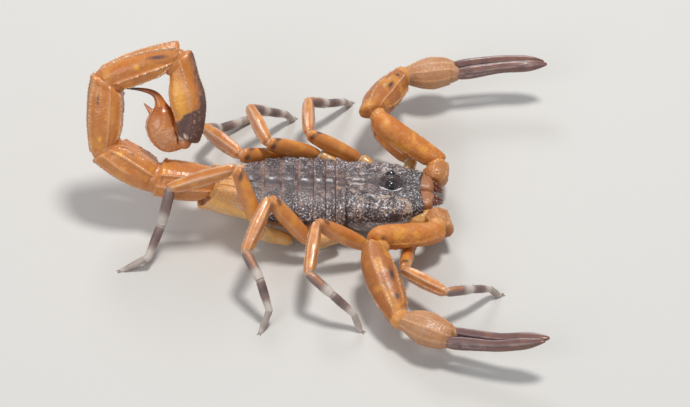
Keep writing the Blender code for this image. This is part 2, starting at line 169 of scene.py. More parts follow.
def roundDirections(heading, count):     # even directions all the way round a heading
    across = unit(np.cross(heading, (0.31, 0.17, 0.93)))
    other = np.cross(heading, across)
    turns = np.arange(count) * 2 * np.pi / count
    return np.cos(turns)[:, None] * across + np.sin(turns)[:, None] * other


# rays round each stop, most stops, how many may miss, how wide they may reach, and the pulls on the heading
track = dict(rays=20, stops=300, missing=0.3, widest=1.5, close=1.5, onward=0.7, held=0.5, toEnd=0.12)


def trackMiddle(tree, first, last, stride=0.2):   # follows the middle of a bent node
    start, finish = first[0], last[0]
    heading = -first[1] if first[1] is not None else unit(finish - start)
    path, here = [start], start + heading * stride
    for _ in range(track["stops"]):
        rays = roundDirections(heading, track["rays"])
        found = [tree.ray_cast(Vector(here), Vector(ray))[3] for ray in rays]
        reach = np.array([np.nan if d is None else d for d in found])
        if np.isnan(reach).mean() > track["missing"]:
            break
        reach = np.where(np.isnan(reach), np.nanmedian(reach), reach)
        reach = np.minimum(reach, track["widest"] * np.median(reach))
        middle = here + (2 / 3) * (reach[:, None] ** 3 * rays).sum(0) / (reach ** 2).sum()
        toGo = finish - middle
        if np.linalg.norm(toGo) < track["close"] * stride:
            break
        path.append(middle)
        onward = unit(path[-1] - path[-2]) * track["onward"]
        heading = unit(onward + heading * track["held"] + track["toEnd"] * unit(toGo))
        here = middle + heading * stride
    path = np.array(path + [finish])
    for _ in range(3):
        path[1:-1] = (path[:-2] + 2 * path[1:-1] + path[2:]) / 4
    return path


def respace(path, count):     # even points along a path, and its length
    run = np.r_[0, np.cumsum(np.linalg.norm(np.diff(path, axis=0), axis=1))]
    wanted = np.linspace(0, run[-1], count)
    return np.stack([np.interp(wanted, run, path[:, k]) for k in range(3)], -1), run[-1]


def cutShare(path, low, high, count=40):   # a stretch of a path, by shares of its length
    fine = respace(path, 400)[0]
    return respace(fine[int(low * 399):int(high * 399) + 1], count)[0]


def roundOff(reach, waves):    # keeps the broad shape of each section and drops the flats of the solid
    parts = np.fft.rfft(reach, axis=1)
    order = np.arange(parts.shape[1])
    parts *= np.exp(-(order / (waves + 0.5)) ** 6)
    return np.fft.irfft(parts, reach.shape[1], axis=1)


def measureTube(name, path, ends, up, side, rays, waves):
    # how far a node's surface lies from its middle line, at each station and all the way round
    centre, length = respace(path, stations)
    along = unit(np.gradient(centre, axis=0))
    tangent = along.copy()
    share = np.linspace(0, 1, len(centre))
    for end, weight in zip(ends, (1 - step(share, 0, 0.42), step(share, 0.58, 1))):
        if end is not None:
            flat = end * np.sign(end @ tangent[0 if weight[0] > 0.5 else -1])
            along = along * (1 - weight[:, None]) + flat * weight[:, None]
    along = unit(along)
    upward = unit(up - (along @ up)[:, None] * along)
    sideways = np.cross(along, upward)
    if (sideways.mean(0) @ side) < 0:
        sideways = -sideways
    angles = np.arange(rays) * 2 * np.pi / rays
    reach = np.full((len(centre), rays), np.nan)
    inset = np.clip(share, 0.03 / length, 1 - 0.03 / length)
    probe = np.stack([np.interp(inset, share, centre[:, k]) for k in range(3)], -1)
    for i in range(len(centre)):
        for j, a in enumerate(angles):
            ray = math.cos(a) * upward[i] + math.sin(a) * sideways[i]
            found = trees[name].ray_cast(Vector(probe[i]), Vector(ray))[3]
            reach[i, j] = np.nan if found is None else found
        if np.isnan(reach[i]).all():
            reach[i] = reach[i - 1] if i else 0.3
        typical = np.nanmedian(reach[i])
        reach[i] = np.minimum(np.where(np.isnan(reach[i]), typical, reach[i]), 2.2 * typical)
    reach = blur(roundOff(reach, waves), 1.0, 0)
    return dict(centre=centre, up=upward, side=sideways, along=along, reach=reach, length=length, node=name)


def tubeBetween(name, start, stop, up, side, rays, waves):    # measured from one flat end to the other
    return measureTube(name, np.array((start[0], stop[0])), (start[1], stop[1]), up, side, rays, waves)


def radiusOf(tube):
    return tube["reach"].mean()


def onTube(tube, share, angle, rise=0.0, widen=1.0):
    # points on a measured tube; shares past 0 and 1 run on straight
    share, angle = np.broadcast_arrays(np.asarray(share, float), np.asarray(angle, float))
    count, rays = tube["reach"].shape
    s = np.clip(share, 0, 1) * (count - 1)
    i = np.minimum(s.astype(int), count - 2)
    f = s - i
    a = (angle % 360) / 360 * rays
    j = a.astype(int) % rays
    g = a - np.floor(a)
    k = (j + 1) % rays
    reach = tube["reach"]
    low = reach[i, j] * (1 - g) + reach[i, k] * g
    high = reach[i + 1, j] * (1 - g) + reach[i + 1, k] * g
    radius = (low * (1 - f) + high * f) * widen + rise

    def between(key):
        rows = tube[key]
        return rows[i] * (1 - f)[..., None] + rows[i + 1] * f[..., None]

    turned = np.radians(angle)[..., None]
    outward = unit(np.cos(turned) * between("up") + np.sin(turned) * between("side"))
    beyond = (share - np.clip(share, 0, 1)) * tube["length"]
    return between("centre") + outward * radius[..., None] + between("along") * beyond[..., None]


def pointOn(tube, share, angle, rise=0.0):
    return onTube(tube, np.array([share]), np.array([float(angle)]), rise)[0]


# the camera in millimetres and degrees, the floor in metres
studio = dict(distance=280.0, tilt=45.0, lens=168.0, rise=0.0195652, sensor=36, floorSize=0.9,
              floorColour=(0.60, 0.59, 0.57), floorRough=0.9, sky=(0.93, 0.96, 1.0), skyStrength=0.34)
# each lamp's place and size in metres, power and colour
lamps = dict(key=((0.05, 0.045, 0.28), 0.06, 0.58, (1.0, 0.97, 0.93)),
             fill=((-0.16, -0.20, 0.18), 0.22, 0.30, (1, 1, 1)),
             back=((-0.05, 0.20, 0.16), 0.08, 0.16, (0.92, 0.96, 1.0)))


def newObject(name, data):
    item = bpy.data.objects.new(name, data)
    bpy.context.scene.collection.objects.link(item)
    return item


def makeCamera():
    low, high = boxOf("carapace")
    aim = np.array((low[0] - 0.02, (low[1] + high[1]) / 2, 0.0))
    tilt = math.radians(studio["tilt"])
    data = bpy.data.cameras.new("camera")
    data.sensor_width = studio["sensor"]
    data.lens = studio["lens"]
    data.shift_y = studio["rise"]
    data.clip_start = 0.01
    camera = newObject("camera", data)
    back = studio["distance"] * np.array((0, -math.cos(tilt), math.sin(tilt)))
    camera.location = Vector((aim + back) * mm)
    camera.rotation_euler = (math.pi / 2 - tilt, 0, 0)
    bpy.context.scene.camera = camera


def areaLight(name, place, size, power, colour):
    data = bpy.data.lights.new(name, "AREA")
    data.shape = "DISK"
    data.size = size
    data.energy = power
    data.color = colour
    lamp = newObject(name, data)
    lamp.location = place
    lamp.rotation_euler = (Vector((0, 0, 0.004)) - lamp.location).to_track_quat("-Z", "Y").to_euler()


def put(tree, kind, inputs=None, **settings):     # a node with its settings, values and links
    item = tree.nodes.new(kind)
    for key, value in settings.items():
        setattr(item, key, value)
    for key, value in (inputs or {}).items():
        if isinstance(value, bpy.types.NodeSocket):
            tree.links.new(value, item.inputs[key])
        else:
            item.inputs[key].default_value = value
    return item


def first(tree, kind, inputs=None, **settings):   # the same, for a node whose first output is wanted
    return put(tree, kind, inputs, **settings).outputs[0]


def newMaterial(name, **constants):
    material = bpy.data.materials.new(name)
    material.use_nodes = True
    tree = material.node_tree
    tree.nodes.clear()
    shader = put(tree, "ShaderNodeBsdfPrincipled")
    put(tree, "ShaderNodeOutputMaterial", {"Surface": shader.outputs["BSDF"]})
    for key, value in constants.items():
        shader.inputs[key.replace("_", " ")].default_value = value
    return material, tree, shader


def makeStudio():
    scene = bpy.context.scene
    scene.world = bpy.data.worlds.new("studio")
    scene.world.use_nodes = True
    sky = scene.world.node_tree.nodes["Background"]
    sky.inputs["Color"].default_value = (*studio["sky"], 1)
    sky.inputs["Strength"].default_value = studio["skyStrength"]
    scene.view_settings.view_transform = "Standard"
    for name, (place, size, power, colour) in lamps.items():
        areaLight(name, place, size, power, colour)
    half = studio["floorSize"] / 2
    mesh = bpy.data.meshes.new("floor")
    corners = [(-half, -half, 0), (half, -half, 0), (half, half, 0), (-half, half, 0)]
    mesh.from_pydata(corners, [], [(0, 1, 2, 3)])
    mesh.materials.append(newMaterial("paleFloor", Base_Color=(*studio["floorColour"], 1),
                                      Roughness=studio["floorRough"])[0])
    floor = newObject("floor", mesh)


makeCamera()
makeStudio()
print("studio ready")


def mixColour(tree, factor, a, b):
    node = put(tree, "ShaderNodeMix", data_type="RGBA")
    for place, value in ((0, factor), (6, a), (7, b)):
        if isinstance(value, bpy.types.NodeSocket):
            tree.links.new(value, node.inputs[place])
        else:
            node.inputs[place].default_value = value if place == 0 else (*value, 1)
    return node.outputs[2]


def maths(tree, what, a, b):
    return first(tree, "ShaderNodeMath", {0: a, 1: b}, operation=what)


def ranged(tree, value, low, high, toLow=0.0, toHigh=1.0):
    inputs = {"Value": value, "From Min": low, "From Max": high, "To Min": toLow, "To Max": toHigh}
    return first(tree, "ShaderNodeMapRange", inputs)


def grainNoise(tree, coords, scale, detail=3.0, rough=0.55):
    inputs = {"Vector": coords, "Scale": scale, "Detail": detail, "Roughness": rough}
    return first(tree, "ShaderNodeTexNoise", inputs)


def millimetres(tree):        # coordinates on the piece itself, counted in millimetres
    own = put(tree, "ShaderNodeTexCoord").outputs["Object"]
    return first(tree, "ShaderNodeMapping", {"Vector": own, "Scale": (1000, 1000, 1000)})


def raggedMask(tree, mask, fine, ragged, full, most):     # a painted mask with an uneven edge
    uneven = maths(tree, "MULTIPLY", maths(tree, "SUBTRACT", fine, 0.5), ragged)
    share = ranged(tree, maths(tree, "ADD", mask, uneven), 0.12, full, 0.0, most)
    return maths(tree, "MULTIPLY", share, maths(tree, "GREATER_THAN", mask, 0.02))


tones = dict(
    amber=(0.56, 0.185, 0.036), amberLight=(0.62, 0.24, 0.062), amberDeep=(0.56, 0.22, 0.06),
    amberDark=(0.40, 0.125, 0.028), amberSoft=(0.44, 0.165, 0.046), apricot=(0.68, 0.33, 0.085),
    blueGrey=(0.62, 0.64, 0.68), bone=(0.60, 0.52, 0.43), buff=(0.44, 0.315, 0.225),
    chalk=(0.56, 0.50, 0.45), clay=(0.34, 0.14, 0.056), cocoa=(0.235, 0.108, 0.082),
    crest=(0.78, 0.42, 0.20), dusk=(0.078, 0.050, 0.056), frost=(0.78, 0.80, 0.84),
    glow=(0.88, 0.42, 0.065), honey=(0.72, 0.36, 0.085), mahogany=(0.13, 0.022, 0.008),
    mauve=(0.215, 0.145, 0.140), olive=(0.47, 0.29, 0.105), peach=(0.60, 0.275, 0.135),
    peachDeep=(0.50, 0.235, 0.095), plum=(0.135, 0.078, 0.086), rust=(0.38, 0.098, 0.018),
    sand=(0.86, 0.47, 0.13), shell=(0.86, 0.66, 0.50), slate=(0.25, 0.175, 0.150),
    smoke=(0.055, 0.038, 0.038), soot=(0.036, 0.024, 0.027), tan=(0.37, 0.26, 0.20),
    umber=(0.29, 0.150, 0.092), wine=(0.165, 0.085, 0.078))
# noise, relief, scatter and gloss that all the shells share
skin = dict(fineScale=5.0, speckScale=16.0, fineHeight=0.5, speckHeight=0.35, bumpDistance=0.00005, ior=1.5,
            scatter=0.0006, scatterRadius=(1.0, 0.45, 0.2), coatRough=0.22)
# what a finish has unless its own line says otherwise
plain = dict(glow="glow", crest="crest", pale="bone", dark="smoke", broad=0.8, mottle=0.35, ridgeLight=0.35,
             ragged=0.7, darkness=0.92, rough=(0.28, 0.45), bump=0.25, glowDepth=0.12, sharpness=0.5,
             coat=0.25)


def shellFinish(name, base, second, deep, own):
    # cuticle: two mottled tones, then warm spots, crests that are paler keels and also painted highlights and
    # glints, pale thin places (painted highlights in some spots) and dark pigment (painted shade on the far
    # eye brow) from masks
    look = {**plain, **own}
    glow, crest, pale, dark = (tones[look[key]] for key in ("glow", "crest", "pale", "dark"))
    material, tree, shader = newMaterial(
        name, Subsurface_Weight=look["glowDepth"], Subsurface_Scale=skin["scatter"],
        Subsurface_Radius=skin["scatterRadius"], IOR=skin["ior"], Specular_IOR_Level=look["sharpness"],
        Coat_Weight=look["coat"], Coat_Roughness=skin["coatRough"])
    coords = millimetres(tree)
    mask = {key: put(tree, "ShaderNodeAttribute", attribute_name=key).outputs["Fac"]
            for key in ("dark", "pale", "warm", "ridgeAndGlint")}
    broad = grainNoise(tree, coords, look["broad"])
    fine = grainNoise(tree, coords, skin["fineScale"], 4.0, 0.6)
    speck = grainNoise(tree, coords, skin["speckScale"], 2.0)
    colour = mixColour(tree, ranged(tree, broad, 0.35, 0.68), tones[base], tones[second])
    colour = mixColour(tree, ranged(tree, fine, 0.42, 0.75, 0.0, look["mottle"]), colour, tones[deep])
    colour = mixColour(tree, mask["warm"], colour, glow)
    # the ridge mask mixes in the crest colour: paler keel cuticle, and painted highlights and glints
    colour = mixColour(tree, maths(tree, "MULTIPLY", mask["ridgeAndGlint"], look["ridgeLight"]), colour, crest)
    colour = mixColour(tree, raggedMask(tree, mask["pale"], fine, 0.5, 0.85, 1.0), colour, pale)
    darkShare = raggedMask(tree, mask["dark"], fine, look["ragged"], 0.88, look["darkness"])
    colour = mixColour(tree, darkShare, colour, dark)
    tree.links.new(colour, shader.inputs["Base Color"])
    tree.links.new(ranged(tree, fine, 0.3, 0.7, *look["rough"]), shader.inputs["Roughness"])
    height = maths(tree, "ADD", maths(tree, "MULTIPLY", fine, skin["fineHeight"]),
                   maths(tree, "MULTIPLY", speck, skin["speckHeight"]))
    bump = first(tree, "ShaderNodeBump", {"Height": height, "Strength": look["bump"],
                                          "Distance": skin["bumpDistance"]})
    tree.links.new(bump, shader.inputs["Normal"])
    return material


def eyeFinish():
    material, tree, shader = newMaterial("eyeGlass", Coat_Weight=1.0, Coat_Roughness=0.02)
    haze = grainNoise(tree, millimetres(tree), 3.0)
    black = mixColour(tree, haze, (0.004, 0.004, 0.006), (0.012, 0.013, 0.018))
    tree.links.new(black, shader.inputs["Base Color"])
    tree.links.new(ranged(tree, haze, 0.3, 0.7, 0.03, 0.08), shader.inputs["Roughness"])
    return material


trunkTones = ("plum", "mauve", "soot")
# on the trunk the crest colour is a painted highlight: blue-grey on the plates, frost on the grains
granular = dict(mottle=0.75, pale="tan", crest="blueGrey", glow="umber", dark="soot", bump=0.5, broad=1.3,
                darkness=0.85, ridgeLight=1.0, glowDepth=0.03)
fleshy = dict(mottle=0.34, bump=0.2, sharpness=0.35, darkness=0.95)      # the pedipalps' duller cuticle
# name, two mottled tones and a deep one, then what differs from the plain look
shells = dict(
    # the legs' pale shell crest colour paints highlights along the keels
    limb=("limbShell", "amber", "amberLight", "rust", dict(
        mottle=0.36, rough=(0.24, 0.40), ridgeLight=0.55, crest="shell", coat=0.4, darkness=0.8)),
    palp=("palpShell", "amber", "amberLight", "rust", dict(
        fleshy, rough=(0.40, 0.55), ridgeLight=0.5, coat=0.05, bump=0.16, sharpness=0.28)),
    palpDeep=("palpDeepShell", "amberDark", "amberSoft", "rust", dict(
        fleshy, rough=(0.38, 0.52), ridgeLight=0.45, coat=0.1)),
    palpPale=("palpPaleShell", "amberSoft", "peachDeep", "clay", dict(
        fleshy, rough=(0.34, 0.48), ridgeLight=0.5, coat=0.15, glow="amberDeep")),
    tail=("tailShell", "amber", "amberLight", "rust", dict(
        mottle=0.30, dark="dusk", ridgeLight=0.6, ragged=0.45)),
    foot=("footShell", "slate", "mauve", "plum", dict(
        mottle=0.4, pale="chalk", glowDepth=0.2, dark="dusk", rough=(0.38, 0.55), glow="amberLight",
        darkness=0.65)),
    finger=("fingerShell", "cocoa", "wine", "umber", dict(
        mottle=0.65, glow="rust", dark="plum", pale="tan", crest="blueGrey", rough=(0.30, 0.46),
        sharpness=0.35)),
    plate=("trunkPlate", *trunkTones, dict(granular, rough=(0.36, 0.54), coat=0.10)),
    shield=("carapacePlate", *trunkTones, dict(granular, rough=(0.34, 0.52), coat=0.15, pale="buff")),
    rearPlate=("trunkRearPlate", *trunkTones, dict(
        granular, rough=(0.34, 0.5), coat=0.2, glow="apricot", broad=0.8, darkness=0.75)),
    grains=("trunkGrains", "plum", "dusk", "soot", dict(
        granular, rough=(0.14, 0.24), coat=0.7, mottle=0.6, crest="frost", bump=0.1, broad=0.8,
        darkness=0.6, ridgeLight=0.9, glowDepth=0.0)),
    keelBeads=("keelBeads", "amberLight", "peach", "amber", dict(
        mottle=0.3, crest="shell", bump=0.1, rough=(0.16, 0.26), ridgeLight=0.75, coat=0.6, dark="dusk")),
    belly=("bellyShell", "honey", "amberLight", "amber", dict(mottle=0.25, rough=(0.2, 0.35), glow="sand")),
    coxa=("coxaShell", "olive", "honey", "amberLight", dict(
        rough=(0.18, 0.32), dark="rust", bump=0.2, coat=0.35)),
    # the brows' frost colour is a painted reflection
    rim=("eyeBrowSheen", "frost", "chalk", "slate", dict(
        mottle=0.2, pale="frost", dark="soot", bump=0.1, rough=(0.12, 0.2), coat=0.6)),
    membrane=("jointSkin", "amberLight", "peachDeep", "amber", dict(
        mottle=0.5, rough=(0.35, 0.5), pale="chalk", bump=0.5)),
    bulb=("stingBulb", "peach", "amberLight", "amber", dict(
        mottle=0.45, glow="rust", crest="shell", rough=(0.18, 0.32), coat=0.4, glowDepth=0.2)),
    needle=("stingNeedle", "mahogany", "rust", "mahogany", dict(
        mottle=0.3, glow="amber", rough=(0.12, 0.22), coat=0.5)),
    teeth=("fingerTeeth", "rust", "mahogany", "mahogany", dict(
        mottle=0.4, crest="slate", bump=0.0, rough=(0.2, 0.3), ridgeLight=0.5)),
    jaw=("jawShell", "clay", "clay", "rust", dict(dark="mahogany", bump=0.3, rough=(0.36, 0.5), coat=0.12)),
    claw=("jawFingers", "rust", "mahogany", "mahogany", dict(
        mottle=0.4, dark="mahogany", bump=0.05, rough=(0.10, 0.18), coat=0.8)),
    hair=("bristle", "rust", "tan", "mahogany", dict(rough=(0.4, 0.5), bump=0.0)))
finishes = {key: shellFinish(*look) for key, look in shells.items()}
finishes["eye"] = eyeFinish()


settled = {}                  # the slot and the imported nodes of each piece


def settle(piece, slot, nodes):
    settled[piece.name] = slot, nodes
    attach(piece, "root")
    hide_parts(*nodes)
    return piece


def setValues(mesh, name, kind, values):
    field = "vector" if kind == "FLOAT_VECTOR" else "value"
    mesh.attributes.new(name, kind, "POINT").data.foreach_set(field, values.astype(np.float32).ravel())


def addPiece(name, shape, masks, finish, slot, nodes, unwrap=None):
    points, quads, tris = shape
    points = np.maximum(points, (-np.inf, -np.inf, 0.0))       # nothing dips into the floor
    loops = np.concatenate([quads.ravel(), tris.ravel()]).astype(np.int32)
    starts = np.concatenate([np.arange(len(quads)) * 4, len(quads) * 4 + np.arange(len(tris)) * 3])
    mesh = bpy.data.meshes.new(name)
    mesh.vertices.add(len(points))
    mesh.vertices.foreach_set("co", (points * mm).astype(np.float32).ravel())
    mesh.loops.add(len(loops))
    mesh.loops.foreach_set("vertex_index", loops)
    mesh.polygons.add(len(starts))
    mesh.polygons.foreach_set("loop_start", starts.astype(np.int32))
    mesh.polygons.foreach_set("use_smooth", np.ones(len(starts), bool))
    for key in ("dark", "pale", "warm", "ridgeAndGlint", "grain"):
        setValues(mesh, key, "FLOAT", np.clip(np.broadcast_to(masks.get(key, 0.0), len(points)), 0, 1))
    if unwrap is not None:
        setValues(mesh, "unwrap", "FLOAT_VECTOR", unwrap)
    mesh.update(calc_edges=True)
    mesh.validate()
    mesh.materials.append(finishes[finish])
    return settle(newObject(name, mesh), slot, nodes)


def closedGrid(grid):         # points and faces of a closed tube of rows, with a pole at each end
    rows, cols = grid.shape[:2]
    points = np.concatenate([grid.reshape(-1, 3), grid[:1].mean(1), grid[-1:].mean(1)])
    i, j = np.meshgrid(np.arange(rows - 1), np.arange(cols), indexing="ij")
    k = (j + 1) % cols
    quads = np.stack([i * cols + j, i * cols + k, (i + 1) * cols + k, (i + 1) * cols + j], -1).reshape(-1, 4)
    ring = np.arange(cols)
    after = (ring + 1) % cols
    last = (rows - 1) * cols
    tris = np.concatenate([
        np.stack([np.full(cols, rows * cols), after, ring], -1),
        np.stack([np.full(cols, rows * cols + 1), last + ring, last + after], -1)])
    p = points - points.mean(0)
    volume = sum((np.cross(p[a], p[b]) * p[c]).sum() for a, b, c in
                 (quads[:, (0, 1, 2)].T, quads[:, (0, 2, 3)].T, tris.T))
    if volume < 0:
        quads, tris = quads[:, ::-1], tris[:, ::-1]
    return points, quads, tris


def joinGrids(grids):         # several closed grids as one set of points and faces
    shapes, base = [], 0
    for grid in grids:
        points, quads, tris = closedGrid(grid)
        shapes.append((points, quads + base, tris + base))
        base += len(points)
    return [np.concatenate(parts) for parts in zip(*shapes)]


def extended(masks, shape, extend):   # the masks of a grid, carried on to what closes it
    return {key: extend(np.broadcast_to(values, shape)) for key, values in masks.items()}


def addSkin(name, grid, masks, finish, slot, nodes):
    rows, cols = grid.shape[:2]
    full = extended(masks, (rows, cols), lambda m: np.r_[m.ravel(), m[0].mean(), m[-1].mean()])
    v, u = np.meshgrid(np.linspace(0, 1, rows), np.arange(cols) / cols, indexing="ij")
    flat = np.concatenate([np.stack([u, v, 0 * u], -1).reshape(-1, 3), [[0.5, 0, 0], [0.5, 1, 0]]])
    return addPiece(name, closedGrid(grid), full, finish, slot, nodes, flat)


def swell(grid, rise):        # moves each ring's points away from its middle
    return grid + unit(grid - grid.mean(1, keepdims=True)) * rise[..., None]


def domedRows(edge, outward, depth, count=4):    # rows that close an end as a low dome
    middle = edge.mean(0)
    turns = math.pi / 2 * np.arange(1, count + 1) / (count + 0.6)
    return np.array([middle + (edge - middle) * math.cos(a) + outward * depth * math.sin(a) for a in turns])


def addLimb(name, tube, relief, finish, slot, rows, cols, neck, lip, span=(0, 1), dome=(0.12, 0.12)):
    # one hard segment: its ends narrow to neck and lip, each a share of its width and a length
    even = np.linspace(0, 1, rows)
    t = (0.55 * even + 0.45 * (0.5 - 0.5 * np.cos(np.pi * even)))[:, None]
    angle = np.linspace(0, 360, cols, endpoint=False)[None, :]
    rise, masks = relief(t, angle, tube)
    start = np.sqrt(np.clip(1 - (1 - np.clip(t * tube["length"] / neck[1], 0, 1)) ** 2, 0, 1))
    stop = np.sqrt(np.clip(1 - (1 - np.clip((1 - t) * tube["length"] / lip[1], 0, 1)) ** 2, 0, 1))
    widen = (neck[0] + (1 - neck[0]) * start) * (lip[0] + (1 - lip[0]) * stop)
    grid = onTube(tube, span[0] + (span[1] - span[0]) * t, angle, rise, widen)
    back = domedRows(grid[0], -unit(tube["along"][0]), dome[0])[::-1]
    front = domedRows(grid[-1], unit(tube["along"][-1]), dome[1])
    full = extended(masks, grid.shape[:2], lambda m: np.pad(m, ((len(back), len(front)), (0, 0)), "edge"))
    return addSkin(name, np.concatenate([back, grid, front]), full, finish, slot, [tube["node"]])


def ball(centre, radii, rows=24, cols=36):
    lat = np.radians(np.linspace(-90, 90, rows + 2)[1:-1, None])
    lon = np.radians(np.linspace(0, 360, cols, endpoint=False)[None, :])
    shape = pointGrid(np.cos(lat) * np.cos(lon), np.cos(lat) * np.sin(lon), np.sin(lat))
    return np.asarray(centre) + shape * np.asarray(radii)


def keel(angle, tube, at, width):     # a lengthwise ridge, its width in millimetres
    return hump(turn(angle, at), 0, math.degrees(width / radiusOf(tube)))


def beads(t, tube, pitch, depth):
    return 1 - depth * (0.5 + 0.5 * np.cos(2 * np.pi * t * tube["length"] / pitch)) ** 1.5


def crests(t, angle, tube, angles, width, pitch, depth):      # all the beaded keels of a segment
    return sum(keel(angle, tube, at, width) * beads(t, tube, pitch, depth) for at in angles)


def stored(tree, geometry, name, value, kind, domain="POINT"):
    inputs = {"Geometry": geometry, "Name": name, "Value": value}
    return first(tree, "GeometryNodeStoreNamedAttribute", inputs, data_type=kind, domain=domain)


def ownPlace(tree, geometry):         # remembers each corner's place in the small shape itself
    return stored(tree, geometry, "own", first(tree, "GeometryNodeInputPosition"), "FLOAT_VECTOR")


def bakePatch(tree, geometry):        # a small patch for each copy at its root's place on the host's unwrap
    host, own = [first(tree, "GeometryNodeInputNamedAttribute", {"Name": key}, data_type="FLOAT_VECTOR")
                 for key in ("unwrap", "own")]
    small = first(tree, "ShaderNodeVectorMath", {0: own, 1: (0.0015, 0.0015, 0.0)}, operation="MULTIPLY")
    place = first(tree, "ShaderNodeVectorMath", {0: host, 1: small}, operation="ADD")
    return stored(tree, geometry, "OFBake", place, "FLOAT2", "CORNER")


def startTree(name, *labels):         # a node tree that takes a mesh, these values, a seed and a finish
    tree = bpy.data.node_groups.new(name, "GeometryNodeTree")
    kinds = dict(Geometry="Geometry", Seed="Int", Finish="Material")
    for label in ("Geometry", *labels, "Seed", "Finish"):
        tree.interface.new_socket(label, in_out="INPUT", socket_type="NodeSocket" + kinds.get(label, "Float"))
    tree.interface.new_socket("Geometry", in_out="OUTPUT", socket_type="NodeSocketGeometry")
    return tree, tree.nodes.new("NodeGroupInput").outputs


def finishTree(tree, given, copies):
    real = first(tree, "GeometryNodeRealizeInstances", {"Geometry": copies})
    soft = first(tree, "GeometryNodeSetShadeSmooth", {"Geometry": bakePatch(tree, real)})
    done = first(tree, "GeometryNodeSetMaterial", {"Geometry": soft, "Material": given["Finish"]})
    put(tree, "NodeGroupOutput", {"Geometry": done})
    return tree


def instances(tree, points, shape, rotation, scale):
    inputs = {"Points": points, "Instance": shape, "Rotation": rotation, "Scale": scale}
    return first(tree, "GeometryNodeInstanceOnPoints", inputs)


def scattered(tree, given, densest, **more):     # points over the host, no closer than the given spacing
    inputs = {"Mesh": given["Geometry"], "Distance Min": given["Spacing"], "Density Max": densest,
              "Seed": given["Seed"]}
    for key, value in more.items():
        inputs[key.replace("_", " ")] = value
    return put(tree, "GeometryNodeDistributePointsOnFaces", inputs, distribute_method="POISSON").outputs


def chance(tree, given, low, high):
    inputs = {2: low, 3: high, "Seed": given["Seed"]}
    return put(tree, "FunctionNodeRandomValue", inputs, data_type="FLOAT").outputs[1]


def anyTurn(tree, given, low, high):
    inputs = {0: low, 1: high, "Seed": given["Seed"]}
    return first(tree, "FunctionNodeRandomValue", inputs, data_type="FLOAT_VECTOR")


def smallGrain(tree):
    return ownPlace(tree, first(tree, "GeometryNodeMeshIcoSphere", {"Radius": 1.0, "Subdivisions": 1}))


# the crest colour taken by a copy is a painted glint
def glinting(tree, copies, share):    # how far each copy takes the crest colour
    return stored(tree, copies, "ridgeAndGlint", share, "FLOAT", "INSTANCE")


def grainScatter():           # grains over a plate, thickest where its grain mask is high
    tree, given = startTree("grainScatter", "Spacing", "Grain Size", "Flatness", "Glint Share")
    mask = first(tree, "GeometryNodeInputNamedAttribute", {"Name": "grain"}, data_type="FLOAT")
    spots = scattered(tree, given, 9e7, Density_Factor=mask)
    flat = first(tree, "ShaderNodeCombineXYZ", {"X": 1.0, "Y": 1.0, "Z": given["Flatness"]})
    grain = first(tree, "GeometryNodeTransform", {"Geometry": smallGrain(tree), "Scale": flat})
    size = maths(tree, "MULTIPLY", chance(tree, given, 0.45, 1.25), given["Grain Size"])
    copies = instances(tree, spots["Points"], grain, spots["Rotation"], size)
    # a few grains take the crest colour as painted glints
    fewGlints = maths(tree, "POWER", chance(tree, given, 0.0, 1.0), 2.2)
    share = maths(tree, "MULTIPLY", fewGlints, given["Glint Share"])
    return finishTree(tree, given, glinting(tree, copies, share))


def bristleScatter():         # short stiff bristles that lean out of a shell
    tree, given = startTree("bristleScatter", "Spacing", "Length", "Thickness", "Lean")
    spots = scattered(tree, given, 6e6)
    hair = first(tree, "GeometryNodeMeshCone", {"Vertices": 5, "Side Segments": 3, "Radius Top": 0.05,
                                                "Radius Bottom": 1.0, "Depth": 1.0})
    lean = maths(tree, "MULTIPLY", given["Lean"], -1.0)
    least = first(tree, "ShaderNodeCombineXYZ", {"X": lean, "Y": lean})
    most = first(tree, "ShaderNodeCombineXYZ", {"X": given["Lean"], "Y": given["Lean"], "Z": 6.28})
    turned = first(tree, "FunctionNodeRotateRotation",
                   {"Rotation": spots["Rotation"], "Rotate By": anyTurn(tree, given, least, most)},
                   rotation_space="LOCAL")
    tall = maths(tree, "MULTIPLY", chance(tree, given, 0.5, 1.3), given["Length"])
    size = first(tree, "ShaderNodeCombineXYZ", {"X": given["Thickness"], "Y": given["Thickness"], "Z": tall})
    return finishTree(tree, given, instances(tree, spots["Points"], ownPlace(tree, hair), turned, size))


def beadRow():                # small grains strung along the edges they are given
    tree, given = startTree("beadRow", "Pitch", "Bead Size", "Tint")
    curve = first(tree, "GeometryNodeMeshToCurve", {"Mesh": given["Geometry"]})
    even = first(tree, "GeometryNodeResampleCurve", {"Curve": curve, "Length": given["Pitch"]}, mode="LENGTH")
    size = maths(tree, "MULTIPLY", chance(tree, given, 0.35, 1.3), given["Bead Size"])
    rotation = anyTurn(tree, given, (0, 0, 0), (6.3, 6.3, 6.3))
    copies = instances(tree, even, smallGrain(tree), rotation, size)
    # Tint: how far each bead takes its finish's crest colour; on the keel beads this is a painted highlight
    share = maths(tree, "MULTIPLY", chance(tree, given, 0.0, 1.0), given["Tint"])
    return finishTree(tree, given, glinting(tree, copies, share))


grainTree, beadTree, bristleTree = grainScatter(), beadRow(), bristleScatter()


